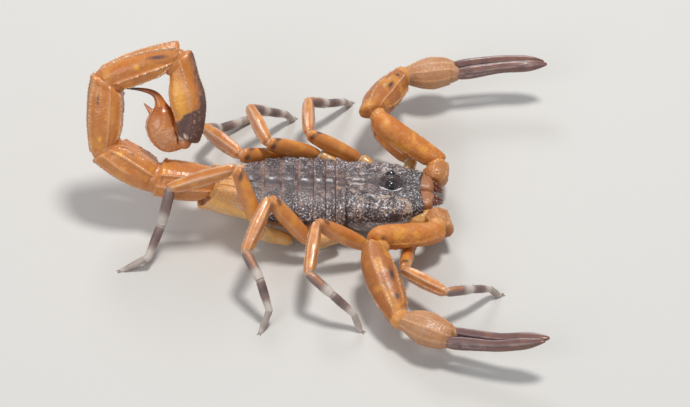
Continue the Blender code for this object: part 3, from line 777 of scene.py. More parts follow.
def grown(name, mesh, tree, values):     # what a node tree makes on a mesh, as a plain mesh of its own
    source = newObject(name + "_source", mesh)
    modifier = source.modifiers.new("grow", "NODES")
    modifier.node_group = tree
    for item in tree.interface.items_tree:
        if item.item_type == "SOCKET" and item.in_out == "INPUT" and item.name in values:
            modifier[item.identifier] = values[item.name]
    bpy.context.view_layer.update()
    graph = bpy.context.evaluated_depsgraph_get()
    made = bpy.data.meshes.new_from_object(source.evaluated_get(graph), depsgraph=graph)
    bpy.data.objects.remove(source)
    made.name = name
    places = np.empty(len(made.vertices) * 3, np.float32)
    made.vertices.foreach_get("co", places)
    places[2::3] = np.maximum(places[2::3], 0.00001)           # nothing dips into the floor
    made.vertices.foreach_set("co", places)
    return newObject(name, made)


# spacing, size, flatness and painted glint share of the loose grains on each kind of shell
grainsOn = dict(trunk=(0.155, 0.068, 0.7, 1.0), shield=(0.165, 0.072, 0.7, 1.0), tail=(0.26, 0.030, 0.8, 0.7),
                bulb=(0.30, 0.030, 0.9, 0.9), palp=(0.24, 0.030, 0.8, 0.6))


def addGrains(host, kind, finish, seed):
    spacing, size, flatness, glintShare = grainsOn[kind]
    values = {"Spacing": spacing * mm, "Grain Size": size * mm, "Flatness": flatness, "Glint Share": glintShare,
              "Seed": seed, "Finish": finishes[finish]}
    settle(grown(host.name + "_grains", host.data, grainTree, values), *settled[host.name])


bristle = dict(thickness=0.011, lean=0.6)


def addBristles(host, spacing, length, seed):
    values = {"Spacing": spacing * mm, "Length": length * mm, "Thickness": bristle["thickness"] * mm,
              "Lean": bristle["lean"], "Seed": seed, "Finish": finishes["hair"]}
    settle(grown(host.name + "_bristles", host.data, bristleTree, values), *settled[host.name])


def addBeads(name, rows, pitch, size, seed, finish, slot, nodes, tint):
    edges, flat, base = [], [], 0
    for n, row in enumerate(rows):
        edges += [(base + k, base + k + 1) for k in range(len(row) - 1)]
        flat += [((n + 0.5) / len(rows), along, 0.0) for along in np.linspace(0, 1, len(row))]
        base += len(row)
    wire = bpy.data.meshes.new(name + "_wire")
    wire.from_pydata((np.concatenate(rows) * mm).tolist(), edges, [])
    setValues(wire, "unwrap", "FLOAT_VECTOR", np.array(flat))
    values = {"Pitch": pitch * mm, "Bead Size": size * mm, "Tint": tint, "Seed": seed,
              "Finish": finishes[finish]}
    settle(grown(name, wire, beadTree, values), slot, nodes)


trunk = dict(plateLift=0.05, plateThick=0.22, sterniteThick=0.20, tergiteEdge=96, sterniteEdge=122,
             grain=0.17, grainHeight=0.035, slit=0.22, skinDepth=0.19, skinFold=0.035)


def trunkTube(number):
    name = f"mesosoma_{number}"
    front = flatEnd(name, f"mesosoma_{number - 1}" if number > 1 else "carapace")
    rear = flatEnd(name, f"mesosoma_{number + 1}" if number < 7 else "metasoma_1")
    if number == 1:
        front = np.array((boxOf(name)[1][0], rear[0][1], rear[0][2])), xAxis
    return tubeBetween(name, front, rear, zAxis, yAxis, 48, 7)


def addPlate(name, place, top, thick, finish, nodes, rows, cols, under=10):
    # a curved plate: closed loops run front to back over the top and return beneath
    w = np.linspace(-1, 1, rows)[:, None]
    share = np.linspace(0, 1, cols)[None, :]
    edge = np.sqrt(np.clip(1 - np.abs(w) ** 24, 0, 1))
    rise, masks = top(w, share)
    upper = place(w, share, rise * edge - thick * 0.5 * (1 - edge))
    beneath = rise[:, ::-1][:, np.linspace(0, cols - 1, under).astype(int)]
    lower = place(w, np.linspace(1, 0, under)[None, :], beneath * edge * 0.6 - thick * (0.5 + 0.5 * edge))
    full = extended(masks, upper.shape[:2], lambda m: np.concatenate(
        [m, np.repeat(m[:, -1:], under // 2, 1), np.repeat(m[:, :1], under - under // 2, 1)], 1))
    if "grain" in full:
        full["grain"][:, -under:] = 0
    return addSkin(name, np.concatenate([upper, lower], 1), full, finish, "trunk_plate", nodes)


def makeTergite(number, tube):
    reach = tube["length"]
    last = number == 7

    def place(w, share, rise):
        overlap = 0.30 * (1 - share) if number == 1 else 0.01
        drawnIn = 22 * share if last else 6
        return onTube(tube, share * 1.09 - overlap, w * (trunk["tergiteEdge"] - drawnIn), rise)

    def top(w, share):
        along, away = share * reach, np.abs(w)
        sheet = pointGrid(along + number * 9.0, w * 5.4)
        grains = pebbles(sheet, trunk["grain"], number)
        field, patch = cloud(sheet, 0.9, number), cloud(sheet, 0.3, number + 31)
        flank = step(away, 0.30, 0.75)
        # the raised rear half, the middle ridge with its knob, and a furrow on each side
        rise = trunk["plateLift"] * (0.8 * step(share, 0, 0.25) - 0.1 + 0.3 * hump(share, 0.80, 0.12))
        rise -= trunk["plateLift"] * 0.55 * step(share, 0.84, 1.0)
        rear = step(share, 0.12, 0.35)
        rise = rise + grains * trunk["grainHeight"] * (0.4 + 0.6 * rear) * (0.8 + 0.5 * flank)
        ridgeLine = hump(w, 0, 0.030) * step(share, 0.30, 0.55) * step(1 - share, 0.0, 0.2)
        knobAt = 1.25 if last else 0.60 * reach
        knob = np.exp(-((w + 0.02 * (field - 0.5)) / 0.082) ** 2) * hump(along, knobAt, 0.25)
        knob = knob * step(cloud(sheet, 0.15, number + 5) + 0.5 * knob, 0.30, 0.95) * (number > 1)
        rise = rise + 0.03 * ridgeLine + 0.04 * knob + 0.05 * (field - 0.5) + 0.02 * (patch - 0.5)
        rise -= 0.06 * hump(away, 0.50, 0.07) * np.sin(np.pi * share)
        # a tan hem along the rear edge, dark blotches, and painted glints where the grains would catch the
        # light
        ragged = along + 0.22 * (patch - 0.5)
        stripe = 0.75 * step(ragged, reach - 0.36, reach - 0.12) * (1 - 0.5 * step(away, 0.3, 0.9))
        stripe *= 0.3 + 0.9 * field
        blotch = cloud(sheet, 0.55, number + 77)
        dark = 0.30 + 0.55 * step(blotch, 0.25, 0.75) * (1 - 0.35 * flank) + 0.30 * hump(away, 0.15, 0.10)
        fore = 0.7 * (1 - step(ragged, 0.12, 0.30))
        glint = step(cloud(sheet, 0.10, number + 50), 0.66, 0.86) * (0.25 + 0.75 * flank) * (1 - stripe)
        dark = dark + 0.12 - 0.65 * stripe - 0.35 * fore - 0.6 * knob
        pale = 0.35 * stripe * step(patch, 0.3, 0.8)
        pale += 0.40 * step(patch, 0.5, 0.8) * (1 - step(blotch, 0.3, 0.6))
        pale += 0.7 * step(away, 0.94, 0.99)
        warm = np.maximum(0.95 * stripe, 0.5 * fore * (0.4 + 0.6 * field))
        warm += 0.25 * step(patch, 0.5, 0.7) * (1 - stripe)
        # the knob's pale blue-grey and the glints are painted highlights
        ridgeAndGlint = np.clip(1.2 * knob + 0.15 * grains * flank + 0.95 * glint, 0, 1)
        dark = (dark + 0.10 * flank) * (1 - 0.75 * glint)
        grain = within(share, 0.08, 0.2, 0.03, 0.10) * (0.35 + 0.65 * flank)
        grain *= step(1 - away, 0.01, 0.05)
        if last:              # the last plate is keeled, and turns orange towards the tail
            for at in (0.17, 0.42):
                line = hump(away, at, 0.020) * step(share, 0.15, 0.3) * step(1 - share, 0, 0.15)
                rise += 0.11 * line * (0.6 + 0.4 * np.cos(2 * np.pi * along / 0.30))
            border = 0.36 + 0.10 * hump(w, 0, 0.5) - 0.10 * step(away, 0.55, 0.9) + 0.14 * (field - 0.5)
            orange = step(share, border, border + 0.10)
            dark, pale, warm = dark * (1 - orange), pale * (1 - orange), np.maximum(warm, orange)
            past = step(share, border + 0.12, border + 0.30)
            ridgeAndGlint, grain = ridgeAndGlint * (1 - 0.8 * past), grain * (1 - 0.75 * past)
        return rise, dict(dark=dark, pale=pale, warm=warm, ridgeAndGlint=ridgeAndGlint, grain=grain)

    return addPlate(f"tergite_{number}", place, top, trunk["plateThick"], "rearPlate" if last else "plate",
                    [tube["node"]], rows=300, cols=int(18 + reach * (15 if last else 17)))


def makeSternite(number, tube):
    reach = tube["length"]
    last = number == 7

    def place(w, share, rise):
        half = 180 - trunk["sterniteEdge"] + (30 + 20 * share if last else 0)
        return onTube(tube, share + 0.015, 180 + w * half, rise)

    def top(w, share):
        away = np.abs(w)
        field = cloud(pointGrid(share * reach + number * 7.0, w * 4.0), 0.8, number + 40)
        rise = 0.05 * (step(share, 0, 0.25) + 0.8 * hump(share, 0.95, 0.05) - 0.4) + 0.02 * (field - 0.5)
        rise -= 0.05 * hump(share, 0.86, 0.02) * (1 - step(away, 0.9, 1.0))
        if 2 < number < 7:    # breathing slits
            rise -= trunk["slit"] * hump(away, 0.62, 0.05) * hump(share, 0.6, 0.03)
        if last:
            for at in (0.25, 0.62):
                rise += 0.06 * hump(away, at, 0.03) * step(share, 0.3, 0.5)
            hem = hump(away, 0.52, 0.012)
            rise -= 0.05 * hem
            pale = 0.3 * hump(away, 0.7, 0.15)
            return rise, dict(pale=pale, warm=0.5 + 0.4 * field, dark=0.25 * hem, ridgeAndGlint=0.1)
        pale = 0.35 * hump(w, 0, 0.25) * hump(share, 0.5, 0.4) + 0.3 * step(share, 0.93, 1.0)
        return rise, dict(pale=pale, warm=0.15 + 0.4 * field, dark=0.25 * hump(share, 0.86, 0.02), ridgeAndGlint=0.15)

    addPlate(f"sternite_{number}", place, top, trunk["sterniteThick"], "belly", [tube["node"]], rows=170,
             cols=int(12 + reach * 10))


def makeTrunkSkin(tubes):     # the soft side skin that shows between and below the plates
    rows = []
    angle = np.linspace(0, 360, 160, endpoint=False)[None, :]
    side = hump(np.abs(turn(angle, 0)), 108, 16)
    for tube in tubes:
        t = np.linspace(0.04, 0.96, 14)[:, None]
        folds = np.sin(np.radians(angle) * 46 + 2.5 * np.sin(t * 6.3))
        rise = -trunk["skinDepth"] + 0.15 * side + trunk["skinFold"] * folds * side
        rows.append(onTube(tube, t, angle, rise - 0.10 * (1 - np.sin(np.pi * t)) * side))
    grid = np.concatenate(rows)
    grid = np.concatenate([domedRows(grid[0], xAxis, 0.05)[::-1], grid, domedRows(grid[-1], -xAxis, -0.3)])
    above = np.cos(np.radians(angle)) > 0.1
    addSkin("trunk_side_skin", grid, dict(pale=0.25 * side, warm=0.3 * side, dark=0.9 * above), "membrane",
            "underside", [tube["node"] for tube in tubes])


trunkTubes = [trunkTube(number) for number in range(1, 8)]
for number, tube in enumerate(trunkTubes, 1):
    addGrains(makeTergite(number, tube), "trunk", "grains", number)
    makeSternite(number, tube)
makeTrunkSkin(trunkTubes)
print("trunk plates ready")


shield = dict(axisLift=0.78, notch=0.30, wall=0.66, moundLong=0.82, moundWide=0.56, moundHeight=0.58,
              grain=0.19, grainHeight=0.04, topShare=0.88, thick=0.30)
# lines on each side of the carapace: (distance ahead of its rear edge, distance from the middle)
# each furrow has its depth and width too
furrows = [(0.12, 0.15, [(0.35, 0.55), (1.0, 0.95), (1.9, 1.0), (2.9, 0.85)]),
           (0.12, 0.18, [(1.7, 1.4), (2.3, 2.1), (2.2, 2.8), (1.8, 3.5)]),
           (0.09, 0.14, [(2.9, 1.1), (3.7, 1.75), (4.8, 2.3)])]
raised = [[(0.15, 0.95), (0.8, 1.4), (1.7, 1.55)], [(3.3, 0.85), (4.4, 1.15), (5.8, 1.7)],
          [(3.3, 2.1), (4.4, 2.7), (5.2, 2.9)]]
tanLines = [
    [(0.05, 0.85), (0.20, 0.45), (0.75, 0.26), (1.35, 0.34)],
    [(2.75, 1.90), (3.60, 2.50), (4.50, 2.90), (5.30, 2.85)],
    [(2.60, 2.70), (3.50, 3.30), (4.60, 3.35)],
    [(1.40, 1.95), (1.35, 2.60), (1.55, 3.30)],
    [(0.80, 2.50), (0.95, 3.30)],
    [(1.40, 2.30), (2.40, 2.35), (2.75, 1.90)],
    [(0.60, 1.70), (1.40, 1.80)],
]
eyeBand = [(3.10, 1.66), (4.30, 1.74), (4.95, 2.00), (5.50, 2.35), (5.45, 2.90)]   # light, below each eye
# thin painted highlights along raised lines: distance ahead of the rear edge, distance from the middle
highlightLines = [[(3.1, 1.60), (3.9, 1.66)], [(0.7, 0.28), (1.6, 0.30)], [(1.8, 1.50), (2.5, 1.70)],
               [(4.6, 1.20), (5.6, 1.60)]]
# spots: distance ahead, distance from the middle, size
tanSpots = [(1.3, 0.85, 0.24), (2.1, 0.50, 0.20), (2.45, 0.85, 0.22), (0.7, 1.10, 0.20), (5.6, 2.85, 0.26)]
darkSpots = [(2.2, 2.08, 0.28), (2.7, 3.00, 0.30), (4.3, 3.05, 0.26), (0.4, 2.90, 0.25)]


def strokes(x, y, lines, width):      # soft painted lines through a few points
    best = np.full(np.broadcast(x, y).shape, 1e3)
    for line in lines:
        for (ax, ay), (bx, by) in zip(line, line[1:]):
            dx, dy = bx - ax, by - ay
            t = np.clip(((x - ax) * dx + (y - ay) * dy) / (dx * dx + dy * dy), 0, 1)
            best = np.minimum(best, np.hypot(x - ax - t * dx, y - ay - t * dy))
    return np.exp(-(best / width) ** 2)


def carapaceTube():           # measured without the mound, which the relief puts back
    low, high = boxOf("carapace")
    level = low[2] + shield["axisLift"]
    middle = (low[1] + high[1]) / 2
    path = np.array(((low[0] + 0.02, middle, level), (high[0] - shield["notch"] - 0.05, middle, level)))
    tube = measureTube("carapace", path, (-xAxis, xAxis), zAxis, yAxis, 48, 24)
    eyeLow, eyeHigh = boxOf("eye_median_right")
    x, reach = tube["centre"][:, 0], tube["reach"]
    before = np.argmin(np.abs(x - (eyeLow[0] - 0.75)))
    after = np.argmin(np.abs(x - (eyeHigh[0] + 0.75)))
    share = np.linspace(0, 1, after - before + 1)[:, None]
    smooth = reach[before] * (1 - share) + reach[after] * share
    near = (np.abs(turn(np.arange(reach.shape[1]) * 360 / reach.shape[1], 0)) < 44)[None, :]
    reach[before:after + 1] = np.where(near, smooth, reach[before:after + 1])
    tube["reach"] = blur(blur(reach, 1.5, 1, True), 1.2, 0)
    return tube


def makeCarapace():
    tube = carapaceTube()
    low, high = boxOf("carapace")
    middle = (low[1] + high[1]) / 2
    eyeLow, eyeHigh = boxOf("eye_median_right")
    eyeX = (eyeLow[0] + eyeHigh[0]) / 2
    eyeY = abs((eyeLow[1] + eyeHigh[1]) / 2 - middle)
    floor = low[2] + 0.06

    def place(w, share, rise):
        points = onTube(tube, share, np.clip(w / shield["topShare"], -1, 1) * 90, rise)
        down = np.clip((np.abs(w) - shield["topShare"]) / (1 - shield["topShare"]), 0, 1)
        points[..., 2] -= down * shield["wall"]
        points[..., 1] -= np.sign(w) * 0.10 * down ** 2
        across = np.clip(np.abs(points[..., 1] - middle) / 2.0, 0, 1)
        points[..., 0] += shield["notch"] * share ** 6 * across ** 2
        points[..., 2] = np.maximum(points[..., 2], floor)
        return points

    def top(w, share):
        flat = place(w, share, np.zeros(np.broadcast(w, share).shape))
        x, away = flat[..., 0] - low[0], np.abs(flat[..., 1] - middle)
        sheet = pointGrid(x, w * 5.2)
        grains = pebbles(sheet, shield["grain"], 61)
        field, patch, fine = cloud(sheet, 0.8, 63), cloud(sheet, 0.33, 64), cloud(sheet, 0.14, 65)
        # the eye mound with a socket on each side, furrows, raised lines and the smooth rim
        eyeAhead = x - (eyeX - low[0])
        mound = np.exp(-np.abs(eyeAhead / shield["moundLong"]) ** 3 - np.abs(away / shield["moundWide"]) ** 3)
        socket = spot((away - eyeY - 0.10) / 0.30, eyeAhead / 0.44)
        crown = np.exp(-(away / 0.26) ** 4 - (eyeAhead / 0.62) ** 4)
        rise = shield["moundHeight"] * mound + 0.16 * crown - 0.26 * socket
        front = step(x, 4.4, 6.0)
        furrow = np.exp(-(away / 0.15) ** 2) * (hump(x, 1.5, 1.1) + 0.8 * hump(x, 5.6, 0.8))
        rise -= 0.14 * furrow
        for depth, width, line in furrows:
            rise -= depth * strokes(x, away, [line], width)
        rise += 0.10 * strokes(x, away, raised, 0.11) * (0.5 + 0.5 * patch)
        rise = rise + 0.06 * (field - 0.5) + 0.04 * (patch - 0.5)
        rim = step(np.abs(w), 0.79, 0.83) * (1 - step(np.abs(w), 0.96, 1.0)) + hump(x, 6.68, 0.10)
        smooth = np.clip(rim + 0.7 * socket, 0, 1)
        rise = rise + (1 - smooth) * grains * shield["grainHeight"] + 0.02 * (fine - 0.5)
        rise = rise + 0.05 * rim - 0.10 * (1 - step(share, 0.0, 0.03)) - 0.15 * step(share, 0.985, 1.0)
        # tan lines and spots, wavering and broken, with the light band below the eyes
        wavyX, wavyY = x + 0.7 * (cloud(sheet, 0.4, 71) - 0.5), away + 0.7 * (cloud(sheet, 0.4, 72) - 0.5)
        tan = 1.15 * strokes(wavyX, wavyY, tanLines, 0.10) * (0.3 + 0.9 * patch) * (0.4 + 0.8 * fine)
        spots = sum(np.exp(-((x - a) ** 2 + (away - b) ** 2) / c ** 2) for a, b, c in tanSpots)
        tan = np.clip(tan + 0.8 * spots * step(patch, 0.3, 0.65), 0, 1)
        tan = np.clip(tan + 0.25 * step(field, 0.45, 0.8) * step(patch, 0.45, 0.75), 0, 1)
        band = strokes(wavyX, wavyY, [eyeBand], 0.20) * step(fine + 0.4 * patch, 0.35, 0.85)
        outer = np.maximum(step(away, 1.3, 2.2), front)
        # the glints are painted highlights
        glint = step(cloud(sheet, 0.10, 69), 0.62, 0.82) * (0.45 + 0.55 * outer)
        tan = np.clip(tan * (0.35 + 0.85 * step(fine, 0.25, 0.8)) + 0.95 * band, 0, 1) * (1 - 0.75 * glint)
        tan = tan * (1 - mound) * (1 - 0.85 * front * (1 - step(away, 1.5, 1.9)))
        # dark blotches, darkest over the mound and at the front
        deep = sum(np.exp(-((x - a) / 1.5) ** 2 / c ** 2 - (away - b) ** 2 / c ** 2) for a, b, c in darkSpots)
        flank = step(away, 1.3, 2.2) * (1 - front)
        dark = 0.46 + 0.5 * step(cloud(sheet, 0.5, 68), 0.3, 0.7) + 0.6 * front * (1 - step(away, 2.2, 2.7))
        dark = dark + 1.2 * mound - 1.1 * tan
        dark = np.clip(dark + 0.25 * rim - 0.15 * flank + 0.8 * deep * (1 - tan), 0, 1)
        grain = (1 - smooth) * (0.30 + 0.70 * np.maximum(front, flank)) * step(1 - share, 0.01, 0.03) - mound
        # painted highlights along the raised lines and on the glints
        paintedHighlight = strokes(x, away, highlightLines, 0.09) * step(fine, 0.25, 0.6)
        paintedHighlight = np.clip(paintedHighlight + glint * (1 - mound) * (1 - np.clip(deep, 0, 0.9)), 0, 1)
        return rise, dict(pale=tan, dark=dark * (1 - 0.75 * paintedHighlight), ridgeAndGlint=grains * 0.10 + 0.95 * paintedHighlight,
                          warm=0.3 * patch, grain=grain)

    plate = addPlate("carapace_shield", place, top, shield["thick"], "shield", ["carapace"], rows=400,
                     cols=210, under=24)
    addGrains(plate, "shield", "grains", 55)
    corners = [v.co / mm for v in plate.data.vertices]
    return BVHTree.FromPolygons(corners, [f.vertices[:] for f in plate.data.polygons]), place


eyes = dict(grow=1.26, outward=0.16, browReach=1.0, browDip=0.46)


def makeEyes(surface):
    for side, sign in sides.items():
        node = f"eye_median_{side}"
        low, high = boxOf(node)
        radius = (high[0] - low[0]) / 2 * eyes["grow"]
        centre = (low + high) / 2 + unit((0, sign, 0.45)) * eyes["outward"]
        addSkin(f"{node}_lens", ball(centre, (radius, radius, radius), 30, 44), {}, "eye", "eye", [node])
        rings = []            # a pale brow that dips below the eye and runs out to both sides
        for share in np.linspace(-1, 1, 60):
            x = centre[0] + eyes["browReach"] * share
            y = centre[1] + sign * (eyes["browDip"] * (1 - share ** 2) ** 0.8 - 0.08)
            hit = surface.ray_cast(Vector((x, y, 9)), Vector((0, 0, -1)))[0]
            thick = (0.045 + 0.050 * hump(abs(share), 0.78, 0.2)) * (1 - abs(share) ** 6) + 0.004
            heading = unit((1.0, -sign * 0.7 * share, 0))
            rings.append(np.array((x, y, hit[2] + 0.015)) + thick * roundDirections(heading, 12))
        # the near brow is painted pale as a painted highlight, the far brow dark as painted shade
        masks = dict(pale=0.6) if side == "right" else dict(dark=0.95)
        addSkin(f"{node}_brow", np.array(rings), masks, "rim", "trunk_plate", [node])


# along the shield, out from its middle, radius
sideEyes = [(0.93, 0.80, 0.13), (0.885, 0.825, 0.13), (0.84, 0.84, 0.12), (0.90, 0.875, 0.08),
            (0.86, 0.89, 0.07)]


def onPlate(place, w, share, rise):
    return place(np.array([[w]]), np.array([[share]]), np.array([[rise]]))[0, 0]


def makeSideEyes(place):      # five little eyes in two groups at each front corner
    grids = [ball(onPlate(place, sign * w, share, 0.02), (size, size, size), 10, 16)
             for sign in sides.values() for share, w, size in sideEyes]
    addPiece("eyes_lateral", joinGrids(grids), {}, "eye", "eye", ["carapace"])


def makeFolds(place):         # the soft fold that hangs below each side of the shield
    for side, sign in sides.items():
        rings = []
        for share in np.linspace(0.03, 0.90, 90):
            ends = math.sin(math.pi * (share - 0.03) / 0.87) ** 0.4 + 0.02
            drop = (0.28 + 0.80 * float(hump(share, 0.21, 0.22))) * ends
            hang = (0, sign * (0.06 - 0.14 * drop), 0.10 - drop / 2)
            middle = onPlate(place, sign * 0.99, share, 0.0) + hang
            rings.append(middle + roundDirections(xAxis, 48) * (1, 0.26 * ends, (drop / 2 + 0.12 * ends)))
        grid = np.array(rings)
        field, fine = cloud(grid, 0.5, 351), cloud(grid, 0.12, 352)
        folds = np.sin(grid[..., 2] * 15 + 2 * field)
        # the pale on the crests of the folds and the speckled crest colour are painted highlights
        masks = dict(dark=0.3 * step(field, 0.3, 0.8), pale=0.4 * step(folds, 0.2, 1.0),
                     ridgeAndGlint=0.25 + 0.5 * step(fine, 0.5, 0.8))
        addSkin(f"carapace_fold_{side}", swell(grid, 0.03 * folds + 0.04 * (fine - 0.5)), masks, "plate",
                "trunk_plate", ["carapace"])


carapaceTree, onCarapace = makeCarapace()
makeFolds(onCarapace)
makeEyes(carapaceTree)
makeSideEyes(onCarapace)
print("carapace ready")


tail = dict(keelHeight=0.13, keelWidth=0.11, beadPitch=0.20, furrow=0.14, lip=0.05, plug=0.30)
# angles of each ring's keels from its upper middle line, and which of them carry beads
tailKeels = {1: (36, 72, 108, 140, 166), 2: (36, 74, 110, 142, 166), 3: (36, 78, 142, 166),
             4: (36, 80, 166), 5: (44, 128, 180)}
tailBeads = {1: (36, 72), 2: (36, 142), 3: (36, 142), 4: (36, 80, 166), 5: (128, 180)}
# a dark mark on some rings: strength, angle, width in mm, share of length, reach
tailMarks = {2: (0.55, 50, 0.20, 0.62, 0.06), 3: (0.75, 118, 0.12, 0.76, 0.10),
             4: (0.95, 140, 0.20, 0.76, 0.10)}
# and a warm spot: share of length, angle, size in mm
tailWarm = {2: (0.82, 70, 0.30), 3: (0.24, 108, 0.20), 4: (0.50, 118, 0.22)}
# width and length of each ring's rounded end, and the depth of its dome
tailEnds = {4: (0.68, 0.8, 0.10), 5: (0.40, 1.9, 0.36)}
plainEnd = (0.80, 0.45, 0.10)


def tailPlane():              # the middle of the curl and the direction across it
    names = [f"metasoma_{n}" for n in range(1, 6)]
    joints = [flatEnd(a, b)[0] for a, b in zip(names, names[1:])]
    joints = np.array([flatEnd("metasoma_1", "mesosoma_7")[0], *joints])
    across = np.linalg.svd(joints - joints.mean(0))[2][2]
    return joints[1:].mean(0), across if across[1] < 0 else -across


def lastRingMarks(t, away, points, field, patch, fine):
    # the last ring darkens towards its end and its outer side, with a pale rim at the end and painted glints:
    # a spot near the end and sparks over the dark
    drift = 0.10 * (field - 0.5)
    low = 166 - 14 * step(t + drift, 0.15, 0.60) - 118 * step(t + drift, 0.60, 0.86)
    mixed = 0.10 * (patch - 0.5) + 0.12 * (fine - 0.5)
    dark = step(away + 100 * mixed, low - 20, low + 16) * step(t, 0.05, 0.14) * (0.8 + 0.25 * patch)
    late = t + drift + mixed - 0.09 * hump(away, 80, 24)
    dark = np.maximum(dark, step(late, 0.68, 0.92) * step(away, 8, 40)) * (1 - 0.9 * step(t, 0.955, 0.985))
    warm = 0.95 * hump(away, 88, 34) * hump(t, 0.48, 0.33) * (1 - dark)
    glints = spot((away - 112) / 18, (t - 0.925) / 0.03) * step(patch, 0.25, 0.55)
    sparks = step(cloud(points, 0.10, 18), 0.64, 0.84) * (0.35 + 0.65 * hump(away, 150, 25)) * dark
    glints = np.clip(glints + 0.8 * sparks, 0, 1)
    pale = 0.8 * step(t, 0.955, 0.99) * step(100 - away, -20, 30)
    return dark * (1 - 0.85 * glints), warm, pale, 0.9 * glints


def tailRelief(number):
    def relief(t, angle, tube):
        points = onTube(tube, t, angle)
        field, patch = cloud(points, 0.9, number), cloud(points, 0.35, number + 9)
        fine = cloud(points, 0.13, number + 5)
        away = np.abs(turn(angle, 0))
        rise = -tail["furrow"] * hump(away, 0, 20) * np.sin(np.pi * np.clip(t, 0, 1)) ** 0.5
        rise -= 0.05 * hump(away, 95, 22) * np.sin(np.pi * t)
        ridges = 0
        for at in tailKeels[number]:
            strength = 0.7 if number == 5 else 1.0
            if number == 2 and at == 110:          # this keel shows only on the rear half
                strength = step(t, 0.35, 0.6)
            crest = keel(away, tube, at, tail["keelWidth"]) * strength
            ridges += crest * beads(t, tube, tail["beadPitch"], 0.35)
        rise += tail["keelHeight"] * ridges * within(t, 0.03, 0.12, 0.0, 0.05)
        if number < 4:        # the upper keels end in a small spine
            rise += 0.16 * keel(away, tube, tailKeels[number][0], 0.12) * hump(t, 0.93, 0.05)
        rise = rise + tail["lip"] * hump(t, 0.955, 0.03) - 0.03 * hump(t, 0.88, 0.035)
        rise = rise + 0.03 * (fine - 0.5) + 0.045 * (field - 0.5) + 0.03 * (patch - 0.5)
        pale = 0.30 * step(t, 0.965, 1.0) * (0.4 + patch) + 0.16 * step(patch, 0.62, 0.8)
        if number == 5:
            dark, warm, rim, glints = lastRingMarks(t, away, points, field, patch, fine)
            pale = pale + rim + glints
        else:
            warm = 0.30 * step(field, 0.55, 0.8)
            dark = 0.38 * hump(away, 166, 10) * step(t, 0.2, 0.7) * (0.3 + field)
        if number in tailMarks:
            strength, at, wide, along, long = tailMarks[number]
            dark = np.maximum(dark, strength * keel(away, tube, at, wide) * hump(t, along, long))
            along, at, size = tailWarm[number]
            wide = math.degrees(size / radiusOf(tube))
            warm = np.maximum(warm, spot(turn(away, at) / wide, (t - along) * tube["length"] / size))
        return rise, dict(dark=dark, warm=warm, pale=pale, ridgeAndGlint=ridges * (0.5 + fine),
                          grain=step(fine, 0.3, 0.8))
    return relief


def addKnuckle(name, before, after, across, sizes):
    # the rounded body that fills the corner between two tail rings
    centre = (before["centre"][-1] + after["centre"][0]) / 2
    corners = [pointOn(before, 0.93, 180), pointOn(after, 0.07, 180)]
    flanks = [pointOn(before, 0.93, at) for at in (90, -90)]
    wide = np.mean([np.linalg.norm(c - centre) for c in corners]) * sizes[0]
    thick = np.linalg.norm(flanks[0] - flanks[1]) / 2 * sizes[1]
    along = unit(before["along"][-1] - across * (before["along"][-1] @ across))
    grid = ball((0, 0, 0), (wide, wide, thick), 40, 64) @ np.array((along, np.cross(across, along), across))
    field, fine = cloud(grid, 0.5, 91), cloud(grid, 0.14, 92)
    grid = centre + grid + unit(grid) * (0.05 * (field - 0.5) + 0.03 * (fine - 0.5))[..., None]
    addSkin(name, grid, dict(pale=0.2 * field), "tail", "tail_shell", [before["node"], after["node"]])


def addTailRing(number, tube):
    name = tube["node"]
    wide, long, dome = tailEnds.get(number, plainEnd)
    shell = addLimb(f"{name}_shell", tube, tailRelief(number), "tail", "tail_shell", rows=170, cols=150,
                    neck=(0.84, 0.75), lip=(wide, long), span=(-tail["plug"] / tube["length"], 1.0),
                    dome=(0.05, dome))
    addGrains(shell, "tail", "keelBeads", 70 + number)
    addBristles(shell, 0.75, 0.26, 170 + number)
    last = number == 5        # its beads stop where the end narrows
    t = np.linspace(0.10, 0.56 if last else 0.90, 60)
    angles = [at * sign for at in tailBeads[number] for sign in ((1,) if at == 180 else (1, -1))]
    rows = [onTube(tube, t, at, tail["keelHeight"] * (0.5 if last else 0.75)) for at in angles]
    # the beads of ring IV are bigger and take the full crest colour, a painted highlight along its keels
    size, tint = (0.105, 1.0) if number == 4 else (0.075, 0.7)
    addBeads(f"{name}_keel_beads", rows, 0.17, size, number, "keelBeads", "tail_shell", [name], tint)


def makeTail():
    middle, across = tailPlane()
    names = ["mesosoma_7"] + [f"metasoma_{n}" for n in range(1, 6)]
    tubes = []
    for number in range(1, 6):
        name = names[number]
        start = flatEnd(name, names[number - 1])
        stop = flatEnd(name, names[number + 1] if number < 5 else farTip(name, start[0])[0])
        inward = zAxis if number == 1 else middle - (start[0] + stop[0]) / 2
        tube = tubeBetween(name, start, stop, unit(inward), across, 48, 4)
        if number == 5:       # the outer edge comes round to the bulb
            bend = step(np.linspace(0, 1, stations), 0.66, 1.05)[:, None]
            tube["centre"] = tube["centre"] + unit(inward) * (0.50 * bend)
        addTailRing(number, tube)
        tubes.append(tube)
    for n, (a, b) in enumerate(zip(tubes, tubes[1:]), 1):
        addKnuckle(f"tail_joint_{n}", a, b, across, (0.95, 0.84) if n < 4 else (0.80, 0.62))
    return tubes, across


tailTubes, tailAcross = makeTail()


telson = dict(shoulder=0.62, lead=0.85, toothBase=0.46, toothOut=0.34, toothBend=0.28, neckSize=0.52)
# width of the bulb along its share of the line, then of the sting along the rest of it
bulbAt = (0, 0.06, 0.16, 0.32, 0.52, 0.72, 0.88, 1.0)
bulbSize = (0.20, 0.36, 0.62, 0.93, 1.06, 1.02, 0.88, 0.68)
stingAt = (0.06, 0.16, 0.35, 0.60, 0.85, 1.0)
stingSize = (0.60, 0.44, 0.28, 0.175, 0.09, 0.01)


